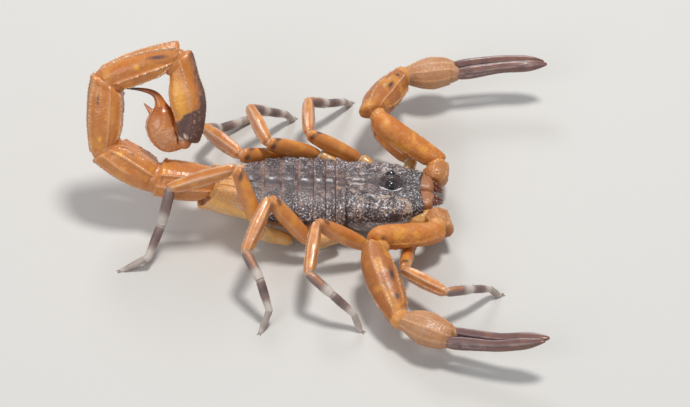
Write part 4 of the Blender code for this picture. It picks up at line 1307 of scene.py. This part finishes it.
def toothTip(path):           # the corner of the bulb farthest from the front of its middle line
    corners = solids["telson_vesicle"][0]
    away = np.array([np.linalg.norm(path - c, axis=1) for c in corners])
    tip = corners[np.argmax(np.where(away.argmin(1) > 44, away.min(1), 0))]
    return tip, path[np.argmin(np.linalg.norm(path - tip, axis=1))]


def telsonLine(path, outer):
    # one middle line: from the last tail ring through the bulb, over its outer shoulder and along the sting
    end = {key: tailTubes[4][key][-1] for key in ("centre", "along", "up")}
    start = flatEnd("telson_aculeus", "telson_vesicle")
    needle = trackMiddle(trees["telson_aculeus"], start, farTip("telson_aculeus", start[0]), 0.12)
    needle = respace(needle, 40)[0]
    lead = telson["lead"] * outer * (1 - step(np.linspace(0, 1, 40), 0.0, 0.75))[:, None]
    sag = end["along"] * np.array((0.10, 0.28, 0.16))[:, None]
    shoulder = path[50] + outer * telson["shoulder"]
    marks = [[end["centre"] + end["along"] * 0.05], path[[6, 20, 36]] + sag, [shoulder],
             (needle + lead)[8::4], needle[-1:]]
    line = blur(respace(np.concatenate(marks), linePoints)[0], 11, 0)
    line[-1] = needle[-1]
    line, length = respace(line, linePoints)
    away = np.linalg.norm(line - (path[52] + outer * telson["shoulder"]), axis=1)
    joint = away.argmin() / (linePoints - 1)
    return line, length, joint, end


def addBulb(line, length, joint, lofted, turns, cut):
    grid = lofted(0, cut, roundPoints)
    t = (np.linspace(0, 1, linePoints)[:cut] / joint)[:, None]
    field, patch = cloud(grid, 0.7, 80), cloud(grid, 0.2, 81)
    bumps = sum(hump(turn(np.degrees(turns)[None, :], at), 0, 6) for at in (75, -75, 128, -128, 180))
    bumps = bumps * (1 - 0.9 * (0.5 + 0.5 * np.cos(2 * np.pi * t * joint * length / 0.34)) ** 1.5)
    rise = 0.05 * bumps * step(t, 0.15, 0.35) * step(1 - t, 0.1, 0.4)
    rise = rise + 0.04 * (patch - 0.5) + 0.05 * (field - 0.5)
    grid += unit(grid - line[:cut, None]) * rise[..., None]
    masks = dict(pale=0.30 * step(patch, 0.45, 0.8) * (1 - step(t, 0.6, 0.9)), ridgeAndGlint=bumps * 0.5, grain=0.4,
                 warm=0.75 * step(t, 0.75, 1.1) + 0.3 * field * step(t, 0.3, 0.8))
    bulb = addSkin("telson_bulb", grid, masks, "bulb", "sting_bulb", ["telson_vesicle"])
    addGrains(bulb, "bulb", "bulb", 79)
    addBristles(bulb, 0.6, 0.30, 178)


def addTooth(line, joint, tip, outer):
    root = line[int(joint * (linePoints - 1) * 0.80)]
    bend = unit(line[int(joint * (linePoints - 1))] - line[int(joint * 180)])
    tip = tip + telson["toothOut"] * outer + telson["toothBend"] * bend
    toward = unit(tip - root)
    rings = []
    for share in np.linspace(0, 1, 40):
        centre = root + (tip - root) * share - bend * 0.10 * math.sin(math.pi * share)
        radius = telson["toothBase"] * (1 - share) ** 0.75 + 0.012 + 0.20 * hump(share, 0.2, 0.25)
        rings.append(centre + radius * roundDirections(unit(toward + bend * 0.5 * share), 40))
    warm = 0.6 * step(np.linspace(0, 1, 40), 0.5, 1.0)[:, None]
    addSkin("telson_tooth", np.array(rings), dict(warm=warm, ridgeAndGlint=warm), "bulb", "sting_bulb",
            ["telson_vesicle"])


def makeTelson():
    start = flatEnd("telson_vesicle", tailTubes[4]["centre"][-1])
    stop = flatEnd("telson_vesicle", "telson_aculeus")
    whole = trackMiddle(trees["telson_vesicle"], start, stop)
    path = respace(whole, 60)[0]
    tip, root = toothTip(path)
    outer = unit(root - tip)
    tube = measureTube("telson_vesicle", whole, (start[1], stop[1]), outer, tailAcross, 40, 5)
    line, length, joint, end = telsonLine(path, outer)
    share = np.linspace(0, 1, linePoints)
    typical = np.sort(tube["reach"].mean(1))[-8:].mean() * 1.04
    places = np.r_[np.array(bulbAt) * joint, joint + np.array(stingAt) * (1 - joint)]
    sizes = np.interp(share, places, np.r_[np.array(bulbSize) * typical, stingSize])
    sizes = blur(sizes[:, None], 5, 0)[:, 0]
    sizes[-14:] = np.linspace(sizes[-14], 0.006, 14)
    heads = unit(np.gradient(line, axis=0))
    turns = np.radians(np.linspace(0, 360, roundPoints, endpoint=False))
    up = unit(outer - (heads @ outer)[:, None] * heads)
    side = np.cross(heads, up)

    def lofted(low, high, cols):
        a = turns[::roundPoints // cols][None, :, None]
        around = np.cos(a) * up[low:high, None] + np.sin(a) * side[low:high, None]
        return line[low:high, None] + sizes[low:high, None, None] * around

    cut = int(joint * (linePoints - 1)) + 12
    addBulb(line, length, joint, lofted, turns, cut)
    t = ((share[cut - 3:] - share[cut - 3]) / (1 - share[cut - 3]))[:, None]
    masks = dict(warm=1.0 - step(t, 0.05, 0.45), dark=0.8 * step(t, 0.35, 0.9))
    needle = lofted(cut - 3, linePoints, roundPoints // 2)
    addSkin("sting_needle", needle, masks, "needle", "sting_needle", ["telson_aculeus"])
    neck = end["centre"] + end["along"] * 0.20 - tailAcross * 0.30 - end["up"] * 0.26
    skin = ball(neck, (telson["neckSize"] * typical,) * 3, 30, 44)
    skin += unit(skin - neck) * (0.06 * (cloud(skin, 0.4, 95) - 0.5))[..., None]
    addSkin("telson_neck", skin, dict(warm=0.4, ridgeAndGlint=0.3 * cloud(skin, 0.2, 96)), "bulb", "sting_bulb",
            ["telson_vesicle"])
    addTooth(line, joint, tip, outer)


makeTelson()
print("tail ready")


palp = dict(keelHeight=0.085, keelWidth=0.10, beadPitch=0.24, toothPitch=0.55)
palpKeels = dict(trochanter=(0, 60, -60), femur=(90, -90, 150), patella=(30, -35, 85, -85, 140),
                 hand=(0, 38, -38, 78, -78, 180))
palpBeads = dict(femur=(90, -90), patella=(30, -35, 85, -85))
# finish, how round the section is made, width and length of the far end
palpParts = dict(trochanter=("palpPale", 2.3, (0.66, 1.1)), femur=("palp", 3.0, (0.94, 0.40)),
                 patella=("palpDeep", 3.0, (0.94, 0.40)))
jointBalls = []               # middle, radius, limb, side and paleness of the soft skin in each joint


def easePath(path):           # takes the kinks out of a path, but keeps its tip
    fine = respace(path, 120)[0]
    weight = step(1 - np.linspace(0, 1, 120), 0.0, 0.12)[:, None]
    return fine * (1 - weight) + blur(fine, 18, 0) * weight


def palpRelief(part, seed):
    def relief(t, angle, tube):
        points = onTube(tube, t, angle)
        field, fine = cloud(points, 0.8, seed), cloud(points, 0.15, seed + 1)
        ends = within(t, 0.04, 0.16, 0.02, 0.12)
        crest = crests(t, angle, tube, palpKeels[part], palp["keelWidth"], palp["beadPitch"], 0.35)
        rough = 2.2 if part == "trochanter" else 1.0
        rise = palp["keelHeight"] * crest * ends + 0.035 * (fine - 0.5) * rough
        rise -= 0.035 * hump(turn(angle, 0), 0, 28) * np.sin(np.pi * t)
        if part in palpBeads:     # blunt teeth along the front edge
            teeth = np.clip(np.cos(2 * np.pi * t * tube["length"] / palp["toothPitch"]), 0, 1) ** 3
            teeth = keel(angle, tube, 88, 0.10) * teeth
            rise += (0.14 if part == "patella" else 0.07) * teeth * ends
        if part == "femur":
            rise += 0.03 * (fine - 0.5)
            pale = 0.22 * step(cloud(points, 0.3, seed + 2), 0.55, 0.85)
            dark = 0.75 * spot(turn(angle, 0) / 22, (t - 0.955) / 0.03)
        if part == "patella":
            dark = spot(turn(angle, 8) / 10, (t - 0.50) / 0.10)
            dark = np.maximum(dark, 0.95 * spot(turn(angle, 2) / 11, (t - 0.80) / 0.045))
            # the two pale spots on the upper flank are painted highlights
            pale = 0.5 * hump(turn(angle, -14), 0, 8) * (hump(t, 0.45, 0.04) + hump(t, 0.64, 0.05))
            dark = np.maximum(dark, 0.14)
            pale += 0.4 * step(t, 0.95, 1.0)
        if part == "trochanter":
            pale = 0.15 * step(field, 0.4, 0.8)
            dark = 0.6 * spot(turn(angle, 20) / 14, (t - 0.82) / 0.07)
        if part == "hand":
            pale = 0.25 * (1 - step(t, 0.0, 0.10)) + 0.2 * step(t, 0.90, 1.0) + 0.22
            dark = 0.09 + 0.5 * step(t, 0.95, 1.0) * (0.3 + field)
        return rise, dict(dark=dark, pale=pale, warm=0.4 * step(field, 0.5, 0.8),
                          ridgeAndGlint=np.clip(crest * 0.8, 0, 1), grain=0.3 + 0.7 * field)
    return relief


def fingerRelief(seed):
    def relief(t, angle, tube):
        points = onTube(tube, t, angle)
        field, fine = cloud(points, 0.6, seed + 31), cloud(points, 0.13, seed + 32)
        crest = keel(angle, tube, 10, 0.08) + keel(angle, tube, -50, 0.07) + keel(angle, tube, 60, 0.07)
        rise = 0.035 * crest + 0.02 * (fine - 0.5) - 0.03 * hump(turn(angle, -20), 0, 12)
        # a band on both flanks near the base is a painted reflection
        band = hump(np.abs(turn(angle, 0)), 92, 16) * hump(t, 0.20, 0.22) * step(fine, 0.2, 0.6)
        dark = 0.55 * (1 - step(field, 0.3, 0.8)) * step(t, 0.0, 0.08) * (1 - 0.8 * band)
        return rise, dict(dark=dark, pale=0.35 * step(t, 0.92, 1.0),
                          ridgeAndGlint=(crest + 1.6 * band) * (0.4 + 0.6 * field),
                          warm=0.7 * step(t, 0.90, 1.0) + 0.5 * (1 - step(t, -0.02, 0.04)))
    return relief


def addPalpPart(name, part, start, stop, hint, seed):
    finish, waves, lip = palpParts[part]
    tube = tubeBetween(name, start, stop, zAxis, hint, 40, 4)
    tube["reach"] = roundOff(tube["reach"], waves)
    shell = addLimb(f"{name}_shell", tube, palpRelief(part, seed), finish, "limb_shell", rows=120, cols=112,
                    neck=(0.90, 0.6), lip=lip)
    if part in palpBeads:
        t = np.linspace(0.14, 0.88, 60)
        rows = [onTube(tube, t, at, palp["keelHeight"] * 0.7) for at in palpBeads[part]]
        kind = "keelBeads" if part == "patella" else "palp"
        addBeads(f"{name}_keel_beads", rows, 0.20, 0.070, seed, kind, "limb_shell", [name], 0.8)
    addGrains(shell, "palp", "keelBeads", seed)
    addBristles(shell, 0.7, 0.28, seed)
    return tube


def addPalm(name, start, path, outer, seed):
    palm = path[:36]          # the rest of the middle line is the fixed finger's
    onward = unit(palm[-1] - palm[-9]) * np.linspace(0.1, 0.55, 6)[:, None]
    palm = np.concatenate([palm, palm[-1:] + onward])
    tube = measureTube(name, palm, (start[1], None), zAxis, outer, 44, 4)
    tube["reach"][-5:] = np.minimum(tube["reach"][-5:], tube["reach"][-7:-5].mean())
    shell = addLimb(f"{name}_shell", tube, palpRelief("hand", seed), "palpPale", "limb_shell", rows=150,
                    cols=112, neck=(0.72, 0.9), lip=(0.62, 1.1), dome=(0.12, 0.30))
    addBristles(shell, 0.6, 0.30, seed)
    return tube


def addFinger(name, node, path, side, seed):
    tube = measureTube(node, path, (None, None), zAxis, side, 32, 3)
    widen = 1 + 0.45 * step(np.linspace(0, 1, len(tube["reach"]))[:, None], 0.35, 0.95)
    tube["reach"] = blur(tube["reach"], 2.0, 0) * widen
    addLimb(name, tube, fingerRelief(seed), "finger", "finger", rows=150, cols=72, neck=(0.62, 1.5),
            lip=(0.35, 0.7), span=(-0.13, 1.0), dome=(0.15, 0.03))
    return tube


def innerRow(tube, other):    # where the teeth stand: the side of a finger that faces the other
    half = stations // 2
    gap = other["centre"][half] - tube["centre"][half]
    inner = math.degrees(math.atan2(gap @ tube["side"][half], gap @ tube["up"][half]))
    return onTube(tube, np.linspace(0.06, 0.95, 90), inner + (-16 if inner > 0 else 16), -0.005)


def makePalp(side, seed):
    parts = ("trochanter", "femur", "patella", "hand")
    names = [f"pedipalp_{side}_{part}" for part in parts]
    hand, finger = names[3], f"pedipalp_{side}_movable_finger"
    joints = [(flatEnd(a, b), flatEnd(b, a)) for a, b in zip(names, names[1:])]
    starts = [flatEnd(names[0], farTip(names[0], joints[0][0][0])[0]), joints[0][1], joints[1][1]]
    inner = sum(boxOf(hand)) / 2
    tubes = []
    for name, part, start, (stop, _) in zip(names, parts, starts, joints):
        hint = inner - (start[0] + stop[0]) / 2 if part != "trochanter" else xAxis
        tubes.append(addPalpPart(name, part, start, stop, hint, seed))
        seed += 3
    start = joints[2][1]
    tip = farTip(hand, start[0])
    path = respace(trackMiddle(trees[hand], start, tip, 0.15), 100)[0]
    palm = addPalm(hand, start, path, boxOf(finger)[0] - boxOf(hand)[0], seed)
    base = flatEnd(finger, farTip(finger, tip[0])[0])
    free = trackMiddle(trees[finger], base, farTip(finger, base[0]), 0.12)
    leading, across = f"pedipalp_{side}_", palm["side"][20]
    fixed = addFinger(leading + "fixed_finger_shell", hand, easePath(path[42:]), across, seed)
    free = addFinger(leading + "free_finger_shell", finger, easePath(free), across, seed)
    addBeads(leading + "finger_teeth", [innerRow(fixed, free), innerRow(free, fixed)], 0.20, 0.062, seed,
             "teeth", "finger", [hand, finger], 0.6)
    for (a, b), tube in zip(joints, tubes):
        jointBalls.append(((a[0] + b[0]) / 2, radiusOf(tube) * 0.82, "pedipalp", side, 0.1))
    return tubes[0]


palps = {side: makePalp(side, seed) for side, seed in (("right", 100), ("left", 115))}
print("pedipalps ready")


leg = dict(keelHeight=0.070, keelWidth=0.095, beadPitch=0.2, clawLength=0.40, clawRadius=0.055)
# shares of the thigh's and the foot's middle line that are trochanter, tibia and toe, for each leg
legShares = {1: (0.26, 0.40, 0.24), 2: (0.28, 0.37, 0.26), 3: (0.36, 0.35, 0.28), 4: (0.34, 0.37, 0.28)}
legKeels = dict(femur=(150,), patella=(25, -25, 78, -78, 150, -150))
# width and length of each part's near and far end
legEnds = dict(trochanter=((0.45, 1.3), (0.80, 0.45)), femur=((0.62, 0.9), (0.88, 0.3)),
               patella=((0.70, 0.7), (0.86, 0.3)), tibia=((0.78, 0.4), (0.92, 0.2)),
               basitarsus=((0.76, 0.3), (0.92, 0.15)), tarsus=((0.74, 0.3), (0.6, 0.4)))


def legRelief(part, seed):
    def relief(t, angle, tube):
        points = onTube(tube, t, angle)
        field, fine = cloud(points, 0.6, seed), cloud(points, 0.13, seed + 1)
        upper = np.abs(turn(angle, 0))
        crest = crests(t, angle, tube, legKeels.get(part, ()), leg["keelWidth"], leg["beadPitch"], 0.25)
        ends = within(t, 0.03, 0.14, 0.02, 0.10)
        rise = leg["keelHeight"] * crest * ends + 0.02 * (fine - 0.5)
        # lit sets how far the keels take the crest colour, a painted highlight
        dark, warm, lit = 0, 0.35 * step(field, 0.5, 0.8), 0.9
        if part == "trochanter":
            under = 0.5 - 0.5 * np.cos(np.radians(angle))
            rise += 0.24 * step(t, 0.30, 0.65) * under * (1 - step(t, 0.9, 1.0))
            pale = 0.25 * step(field, 0.3, 0.7) + 0.5 * step(t, 0.90, 1.0)
            dark = 0.6 * hump(t, 0.93, 0.03)
        if part == "femur":
            lit = 0.3
            rise += 0.09 * np.sin(np.pi * t)
            blot = spot((upper - 78) / 30, (t - 0.885) / 0.05) + 0.9 * spot(upper / 34, (t - 0.90) / 0.04)
            dark = np.clip(1.3 * blot * (0.55 + 0.6 * field), 0, 1)
            pale = 0.6 * (1 - step(t, 0.0, 0.07)) + 0.30 * step(t, 0.97, 1.0)
        if part == "patella":
            dark = 0.5 * spot(upper / 40, (t - 0.05) / 0.03)
            pale = 0.5 * step(t, 0.96, 1.0) + 0.25 * (1 - step(t, 0.0, 0.05))
            rise -= 0.035 * hump(upper, 0, 16) * np.sin(np.pi * t)
            # pale streaks along two ridges are painted highlights
            glintStreak = hump(upper, 27, 7) + hump(upper, 80, 6)
            pale = pale + 0.55 * glintStreak * step(fine, 0.35, 0.7) * step(t, 0.1, 0.25) * step(1 - t, 0.1, 0.2)
        if part == "tibia":
            pale = 0.95 * step(t, 0.46, 0.86) * (1 - 0.5 * step(t, 0.95, 1.0))
            pale += 0.35 * (1 - step(t, 0.0, 0.12))
            dark = 0.45 * hump(t, 0.36, 0.18) * (0.4 + field)
            warm = 0.7 * hump(turn(angle, 70), 0, 30) * (1 - step(t, 0.4, 0.7))
        if part == "basitarsus":
            pale = 0.95 * step(t, 0.48, 0.88) + 0.5 * (1 - step(t, 0.0, 0.14))
            dark = 0.70 * hump(t, 0.32, 0.18) * (0.5 + field)
            warm = 0
        if part == "tarsus":
            pale = 0.35 + 0.35 * step(t, 0.6, 1.0) + 0.3 * field
            warm = 0
        return rise, dict(dark=dark, pale=pale, warm=warm, ridgeAndGlint=np.clip(crest * lit, 0, 1))
    return relief


def makeClaws(name, tip, heading, nodes):
    grids = []
    level = unit(np.cross(heading, zAxis))
    for sign in (-1, 1):
        rings = []
        for share in np.linspace(0, 1, 14):
            swing = math.radians(70) * share
            out = heading * math.sin(swing) + zAxis * (math.cos(swing) - 1) * 0.75
            middle = tip + leg["clawLength"] * 0.8 * (out + 0.25 * sign * level * share) + sign * level * 0.07
            radius = leg["clawRadius"] * (1 - share) ** 0.8 + 0.012
            middle[2] = max(middle[2], radius + 0.004)
            rings.append(middle + radius * roundDirections(unit(heading + 0.3 * sign * level), 12))
        grids.append(np.array(rings))
    addPiece(name, joinGrids(grids), dict(pale=0.35, dark=0.3), "foot", "foot", nodes)


def addLegPart(leading, part, node, path, ends, upward, seed):
    finish = {"trochanter": "coxa", "femur": "limb", "patella": "limb"}.get(part, "foot")
    slot = "foot" if finish == "foot" else "limb_shell"
    tube = measureTube(node, path, ends, unit(upward), xAxis, 32, 3.2)
    if finish == "limb":
        tube["reach"] = roundOff(tube["reach"], 2.3)
    neck, lip = legEnds[part]
    shell = addLimb(f"{leading}_{part}_shell", tube, legRelief(part, seed), finish, slot, rows=56, cols=50,
                    neck=neck, lip=lip, span=(0.0, 0.97 if part == "tarsus" else 1.0), dome=(0.08, 0.08))
    if part == "patella":
        t = np.linspace(0.12, 0.90, 50)
        rows = [onTube(tube, t, at, leg["keelHeight"] * 0.8) for at in legKeels[part][:4]]
        addBeads(f"{leading}_{part}_keel_beads", rows, 0.14, 0.055, seed, "keelBeads", slot, [node], 0.9)
    if part not in ("trochanter", "femur"):
        addBristles(shell, 0.50, 0.24, seed)
    return tube


def makeLeg(side, number, seed):
    leading = f"leg_{side}_{number}"
    thigh, patella, foot = [f"{leading}_{part}" for part in ("thigh", "patella", "foot")]
    knee = flatEnd(thigh, patella), flatEnd(patella, thigh)
    ankle = flatEnd(patella, foot), flatEnd(foot, patella)
    root = flatEnd(thigh, farTip(thigh, knee[0][0])[0])
    thighPath = trackMiddle(trees[thigh], knee[0], root)[::-1]
    footPath = trackMiddle(trees[foot], ankle[1], farTip(foot, ankle[1][0]), 0.15)
    # the plane the leg bends in, and which way is its back
    bent = np.array([thighPath[len(thighPath) // 2], knee[0][0], ankle[0][0], footPath[-4]])
    plane = np.linalg.svd(bent - bent.mean(0))[2][2]
    plane = plane if plane[0] > 0 else -plane
    sign = 1 if np.cross(plane, unit(ankle[0][0] - knee[0][0]))[2] > 0 else -1
    hip, shin, toe = legShares[number]
    parts = [
        ("trochanter", thigh, cutShare(thighPath, 0, hip), (root[1], None)),
        ("femur", thigh, cutShare(thighPath, hip, 1), (None, knee[0][1])),
        ("patella", patella, np.array((knee[1][0], ankle[0][0])), (knee[1][1], ankle[0][1])),
        ("tibia", foot, cutShare(footPath, 0, shin), (ankle[1][1], None)),
        ("basitarsus", foot, cutShare(footPath, shin, 1 - toe), (None, None)),
        ("tarsus", foot, cutShare(footPath, 1 - toe, 1), (None, None))]
    tubes = {}
    for n, (part, node, path, ends) in enumerate(parts):
        upward = sign * np.cross(plane, unit(path[-1] - path[0]))
        tubes[part] = addLegPart(leading, part, node, path, ends, upward, seed + 2 * n)
    size = {part: radiusOf(tube) for part, tube in tubes.items()}
    bends = [(tubes["trochanter"]["centre"][-1], size["femur"] * 0.74, 0.85),
             ((knee[0][0] + knee[1][0]) / 2, size["femur"] * 0.70, 0.25),
             ((ankle[0][0] + ankle[1][0]) / 2, size["tibia"] * 0.82, 0.3),
             (tubes["tibia"]["centre"][-1], size["basitarsus"] * 0.80, 0.5),
             (tubes["basitarsus"]["centre"][-1], size["tarsus"] * 0.85, 0.6)]
    jointBalls.extend((place, radius, "leg", side, pale) for place, radius, pale in bends)
    end = tubes["tarsus"]
    makeClaws(f"{leading}_claws", end["centre"][-3], unit(end["along"][-4] * (1, 1, 0.2)), [foot])
    return tubes["trochanter"]["centre"][0]


legRoots = {}
for side in sides:
    for number in legShares:
        legRoots[side, number] = makeLeg(side, number, 200 + 20 * number + (100 if side == "left" else 0))
print("legs ready")


jaw = dict(reach=0.74, half=0.97, height=0.60, behind=0.50, thick={"fixed": 0.26, "free": 0.30},
           inward={"fixed": -0.34, "free": 0.26}, dark={"fixed": 0.75, "free": 1.0})


def makeJaw(side, sign):      # a short broad hand under the carapace's front edge, with two dark fingers
    name = f"chelicera_{side}"
    low, high = boxOf(name)
    middle = sum(boxOf("carapace"))[1] / 2
    base = np.array((low[0], middle + sign * (jaw["half"] - 0.02), (low[2] + high[2]) / 2 - 0.16))
    turns = np.radians(np.linspace(0, 360, 88, endpoint=False))
    across, upright = [np.sign(v) * np.abs(v) ** 0.75 for v in (np.cos(turns), np.sin(turns))]
    share = np.linspace(0, 1, 60)[:, None]
    shrink = (1 - share ** 7) ** 0.5 * (1 - 0.04 * share) + 0.02
    x = -jaw["behind"] + (jaw["behind"] + jaw["reach"]) * share
    grid = base + pointGrid(x - 0.08 * across * sign * share, across * jaw["half"] * shrink,
                            upright * jaw["height"] * shrink - 0.10 * share ** 2)
    field, fine = cloud(grid, 0.5, 301), cloud(grid, 0.12, 302)
    grid = swell(grid, 0.03 * (fine - 0.5) + 0.05 * (field - 0.5))
    masks = dict(pale=0.25 * step(field, 0.4, 0.8), dark=0.35 * step(share, 0.75, 1.0) * (0.5 + field))
    addBristles(addSkin(f"{name}_shell", grid, masks, "jaw", "limb_shell", [name]), 0.45, 0.30, 66)
    grids = []
    for kind, shift in jaw["inward"].items():
        rings = []
        for share in np.linspace(0, 1, 44):
            x = jaw["reach"] - 0.35 + (high[0] - low[0] - jaw["reach"] + 0.10) * share
            y = shift * sign * (1 - 0.6 * share ** 2) - 0.30 * sign * share
            radius = jaw["thick"][kind] * (1 - share ** 2.4) ** 0.5 * (1 - 0.40 * share) + 0.01
            radius *= 1 + 0.16 * max(0.0, math.cos(share * 26)) ** 4 * (0.25 < share < 0.9)
            middle = base + (x, y, 0.05 - 0.52 * share ** 1.6)
            rings.append(middle + radius * roundDirections(xAxis, 24) * (1, 1, 1.25))
        grids.append(np.array(rings))
    dark = np.repeat(list(jaw["dark"].values()), 44 * 24 + 2)
    addPiece(f"{name}_fingers", joinGrids(grids), dict(dark=dark), "claw", "limb_shell", [name])


def makePalpCoxa(side, sign):     # the blunt base between the carapace corner and the pedipalp
    low, high = boxOf("carapace")
    start = np.array((high[0] - 2.0, (low[1] + high[1]) / 2 + sign * 1.75, low[2] - 0.25))
    stop = palps[side]["centre"][2] + (0, 0, 0.05)
    rings = []
    for share in np.linspace(0, 1, 40):
        bulge = np.array((0.25, sign * 0.35, 0)) * math.sin(math.pi * share)
        middle = start * (1 - share) + stop * share + bulge
        radius = 0.92 * math.sin(math.pi * min(1.0, 0.08 + 0.62 * share)) ** 0.5 * (1 - 0.25 * share ** 2)
        rings.append(middle + roundDirections(unit(stop - start), 56) * radius * (1, 1, 0.85))
    grid = np.array(rings)
    field, fine = cloud(grid, 0.7, 340), cloud(grid, 0.14, 341)
    grid = swell(grid, 0.05 * (fine - 0.5) + 0.06 * (field - 0.5))
    addSkin(f"pedipalp_{side}_coxa", grid, dict(warm=0.4 * field, pale=0.35 * step(field, 0.35, 0.8)), "coxa",
            "limb_shell", [f"pedipalp_{side}_trochanter"])


def makeCoxae():
    # leg bases: one flat block for each leg, with the breastbone between the last two pairs
    low, high = boxOf("coxae_plate")
    middle, level = (low[1] + high[1]) / 2, (low[2] + high[2]) / 2
    path = np.array(((low[0] + 0.03, middle, level), (high[0] - 0.03, middle, level)))
    tube = measureTube("coxae_plate", path, (xAxis, xAxis), zAxis, yAxis, 44, 8)

    def relief(t, angle, tube):
        points = onTube(tube, t, angle)
        x, away = points[..., 0], np.abs(points[..., 1] - middle)
        seams = 0
        for number in (1, 2, 3):
            between = (legRoots["right", number] + legRoots["right", number + 1]) / 2
            hub = low[0] + (0.58 - 0.16 * (number - 1)) * (high[0] - low[0])
            seams += strokes(x, away, [[(hub, 0.35), (between[0], abs(between[1] - middle))]], 0.09)
        seams += hump(away, 0, 0.07) * step(x, low[0] + 3.4, low[0] + 3.8)
        star = strokes(x, away, [[(low[0] + 1.3, 0.55), (low[0] + 2.9, 0.12)]], 0.08)
        star += strokes(x, away, [[(low[0] + 1.3, 0.0), (low[0] + 1.3, 0.6)]], 0.08)
        cut = np.clip(seams + star, 0, 1) * step(np.abs(turn(angle, 0)), 80, 100)
        field, fine = cloud(points, 0.7, 310), cloud(points, 0.14, 311)
        rise = -0.14 * cut + 0.03 * (fine - 0.5) + 0.05 * (field - 0.5)
        return rise, dict(pale=0.3 + 0.2 * field, warm=0.3 * field, dark=0.4 * cut, ridgeAndGlint=0.2)

    addLimb("coxae_shell", tube, relief, "belly", "underside", rows=180, cols=200, neck=(0.92, 0.4),
            lip=(0.88, 0.5))


comb = dict(teeth=18, toothLength=0.42, toothWidth=0.085)


def makePecten(side):
    name = f"pecten_{side}"
    corners = solids[name][0]
    start, stop = [flatEnd(name, corners[k]) for k in (np.argmax(corners[:, 0]), np.argmin(corners[:, 0]))]
    tube = tubeBetween(name, start, stop, zAxis, xAxis, 32, 4)

    def relief(t, angle, tube):
        fore = hump(turn(angle, 90), 0, 60)
        rise = -0.10 + 0.06 * fore - 0.10 * (1 - fore) + 0.02 * np.cos(2 * np.pi * t * 9) * fore
        return rise, dict(pale=0.3, warm=0.3)

    addLimb(f"{name}_shaft", tube, relief, "belly", "underside", rows=80, cols=48, neck=(0.8, 0.5),
            lip=(0.7, 0.25))
    half = stations // 2
    out = unit(unit(-tube["side"][half] * (1, 1, 0)) + 0.25 * unit(tube["along"][half]))
    grids = []
    for k in range(comb["teeth"]):
        base = pointOn(tube, (k + 0.6) / (comb["teeth"] + 0.5), -90, np.array([-0.22]))
        rings = []
        for share in np.linspace(0, 1, 7):
            width = comb["toothWidth"] * (1 - 0.25 * share + 0.35 * share * share)
            middle = base + out * comb["toothLength"] * share
            rings.append(middle + roundDirections(out, 10) * width * (1, 1, 0.9))
        grids.append(np.array(rings))
    addPiece(f"{name}_teeth", joinGrids(grids), dict(pale=0.5, warm=0.2), "belly", "underside", [name])


def makeJointSkin(kind, side):    # pale wrinkled skin inside every joint, one mesh for each limb family
    grids, paleness = [], []
    for n, (middle, size, limb, limbSide, pale) in enumerate(jointBalls):
        if (limb, limbSide) == (kind, side):
            grid = ball(middle, (size, size, size), 22, 34)
            away = unit(grid - middle)
            wrinkle = np.sin(away @ unit((1, 0.4, 0.6)) * 16) * 0.03 + 0.05 * (cloud(grid, 0.3, n) - 0.5)
            grids.append(grid + away * (wrinkle * size)[..., None])
            paleness.append(np.full(22 * 34 + 2, pale))
    shape = joinGrids(grids)
    shape[0][:, 2] = np.maximum(shape[0][:, 2], 0.01)
    addPiece(f"joint_skin_{kind}_{side}", shape, dict(pale=np.concatenate(paleness), warm=0.2), "membrane",
             "limb_shell", [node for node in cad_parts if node.startswith(f"{kind}_{side}")])


for side, sign in sides.items():
    makeJaw(side, sign)
makeCoxae()
for side, sign in sides.items():
    makePalpCoxa(side, sign)
    makePecten(side)
for kind in ("leg", "pedipalp"):
    for side in ("left", "right"):
        makeJointSkin(kind, side)
print("mouthparts, underside and joints ready")
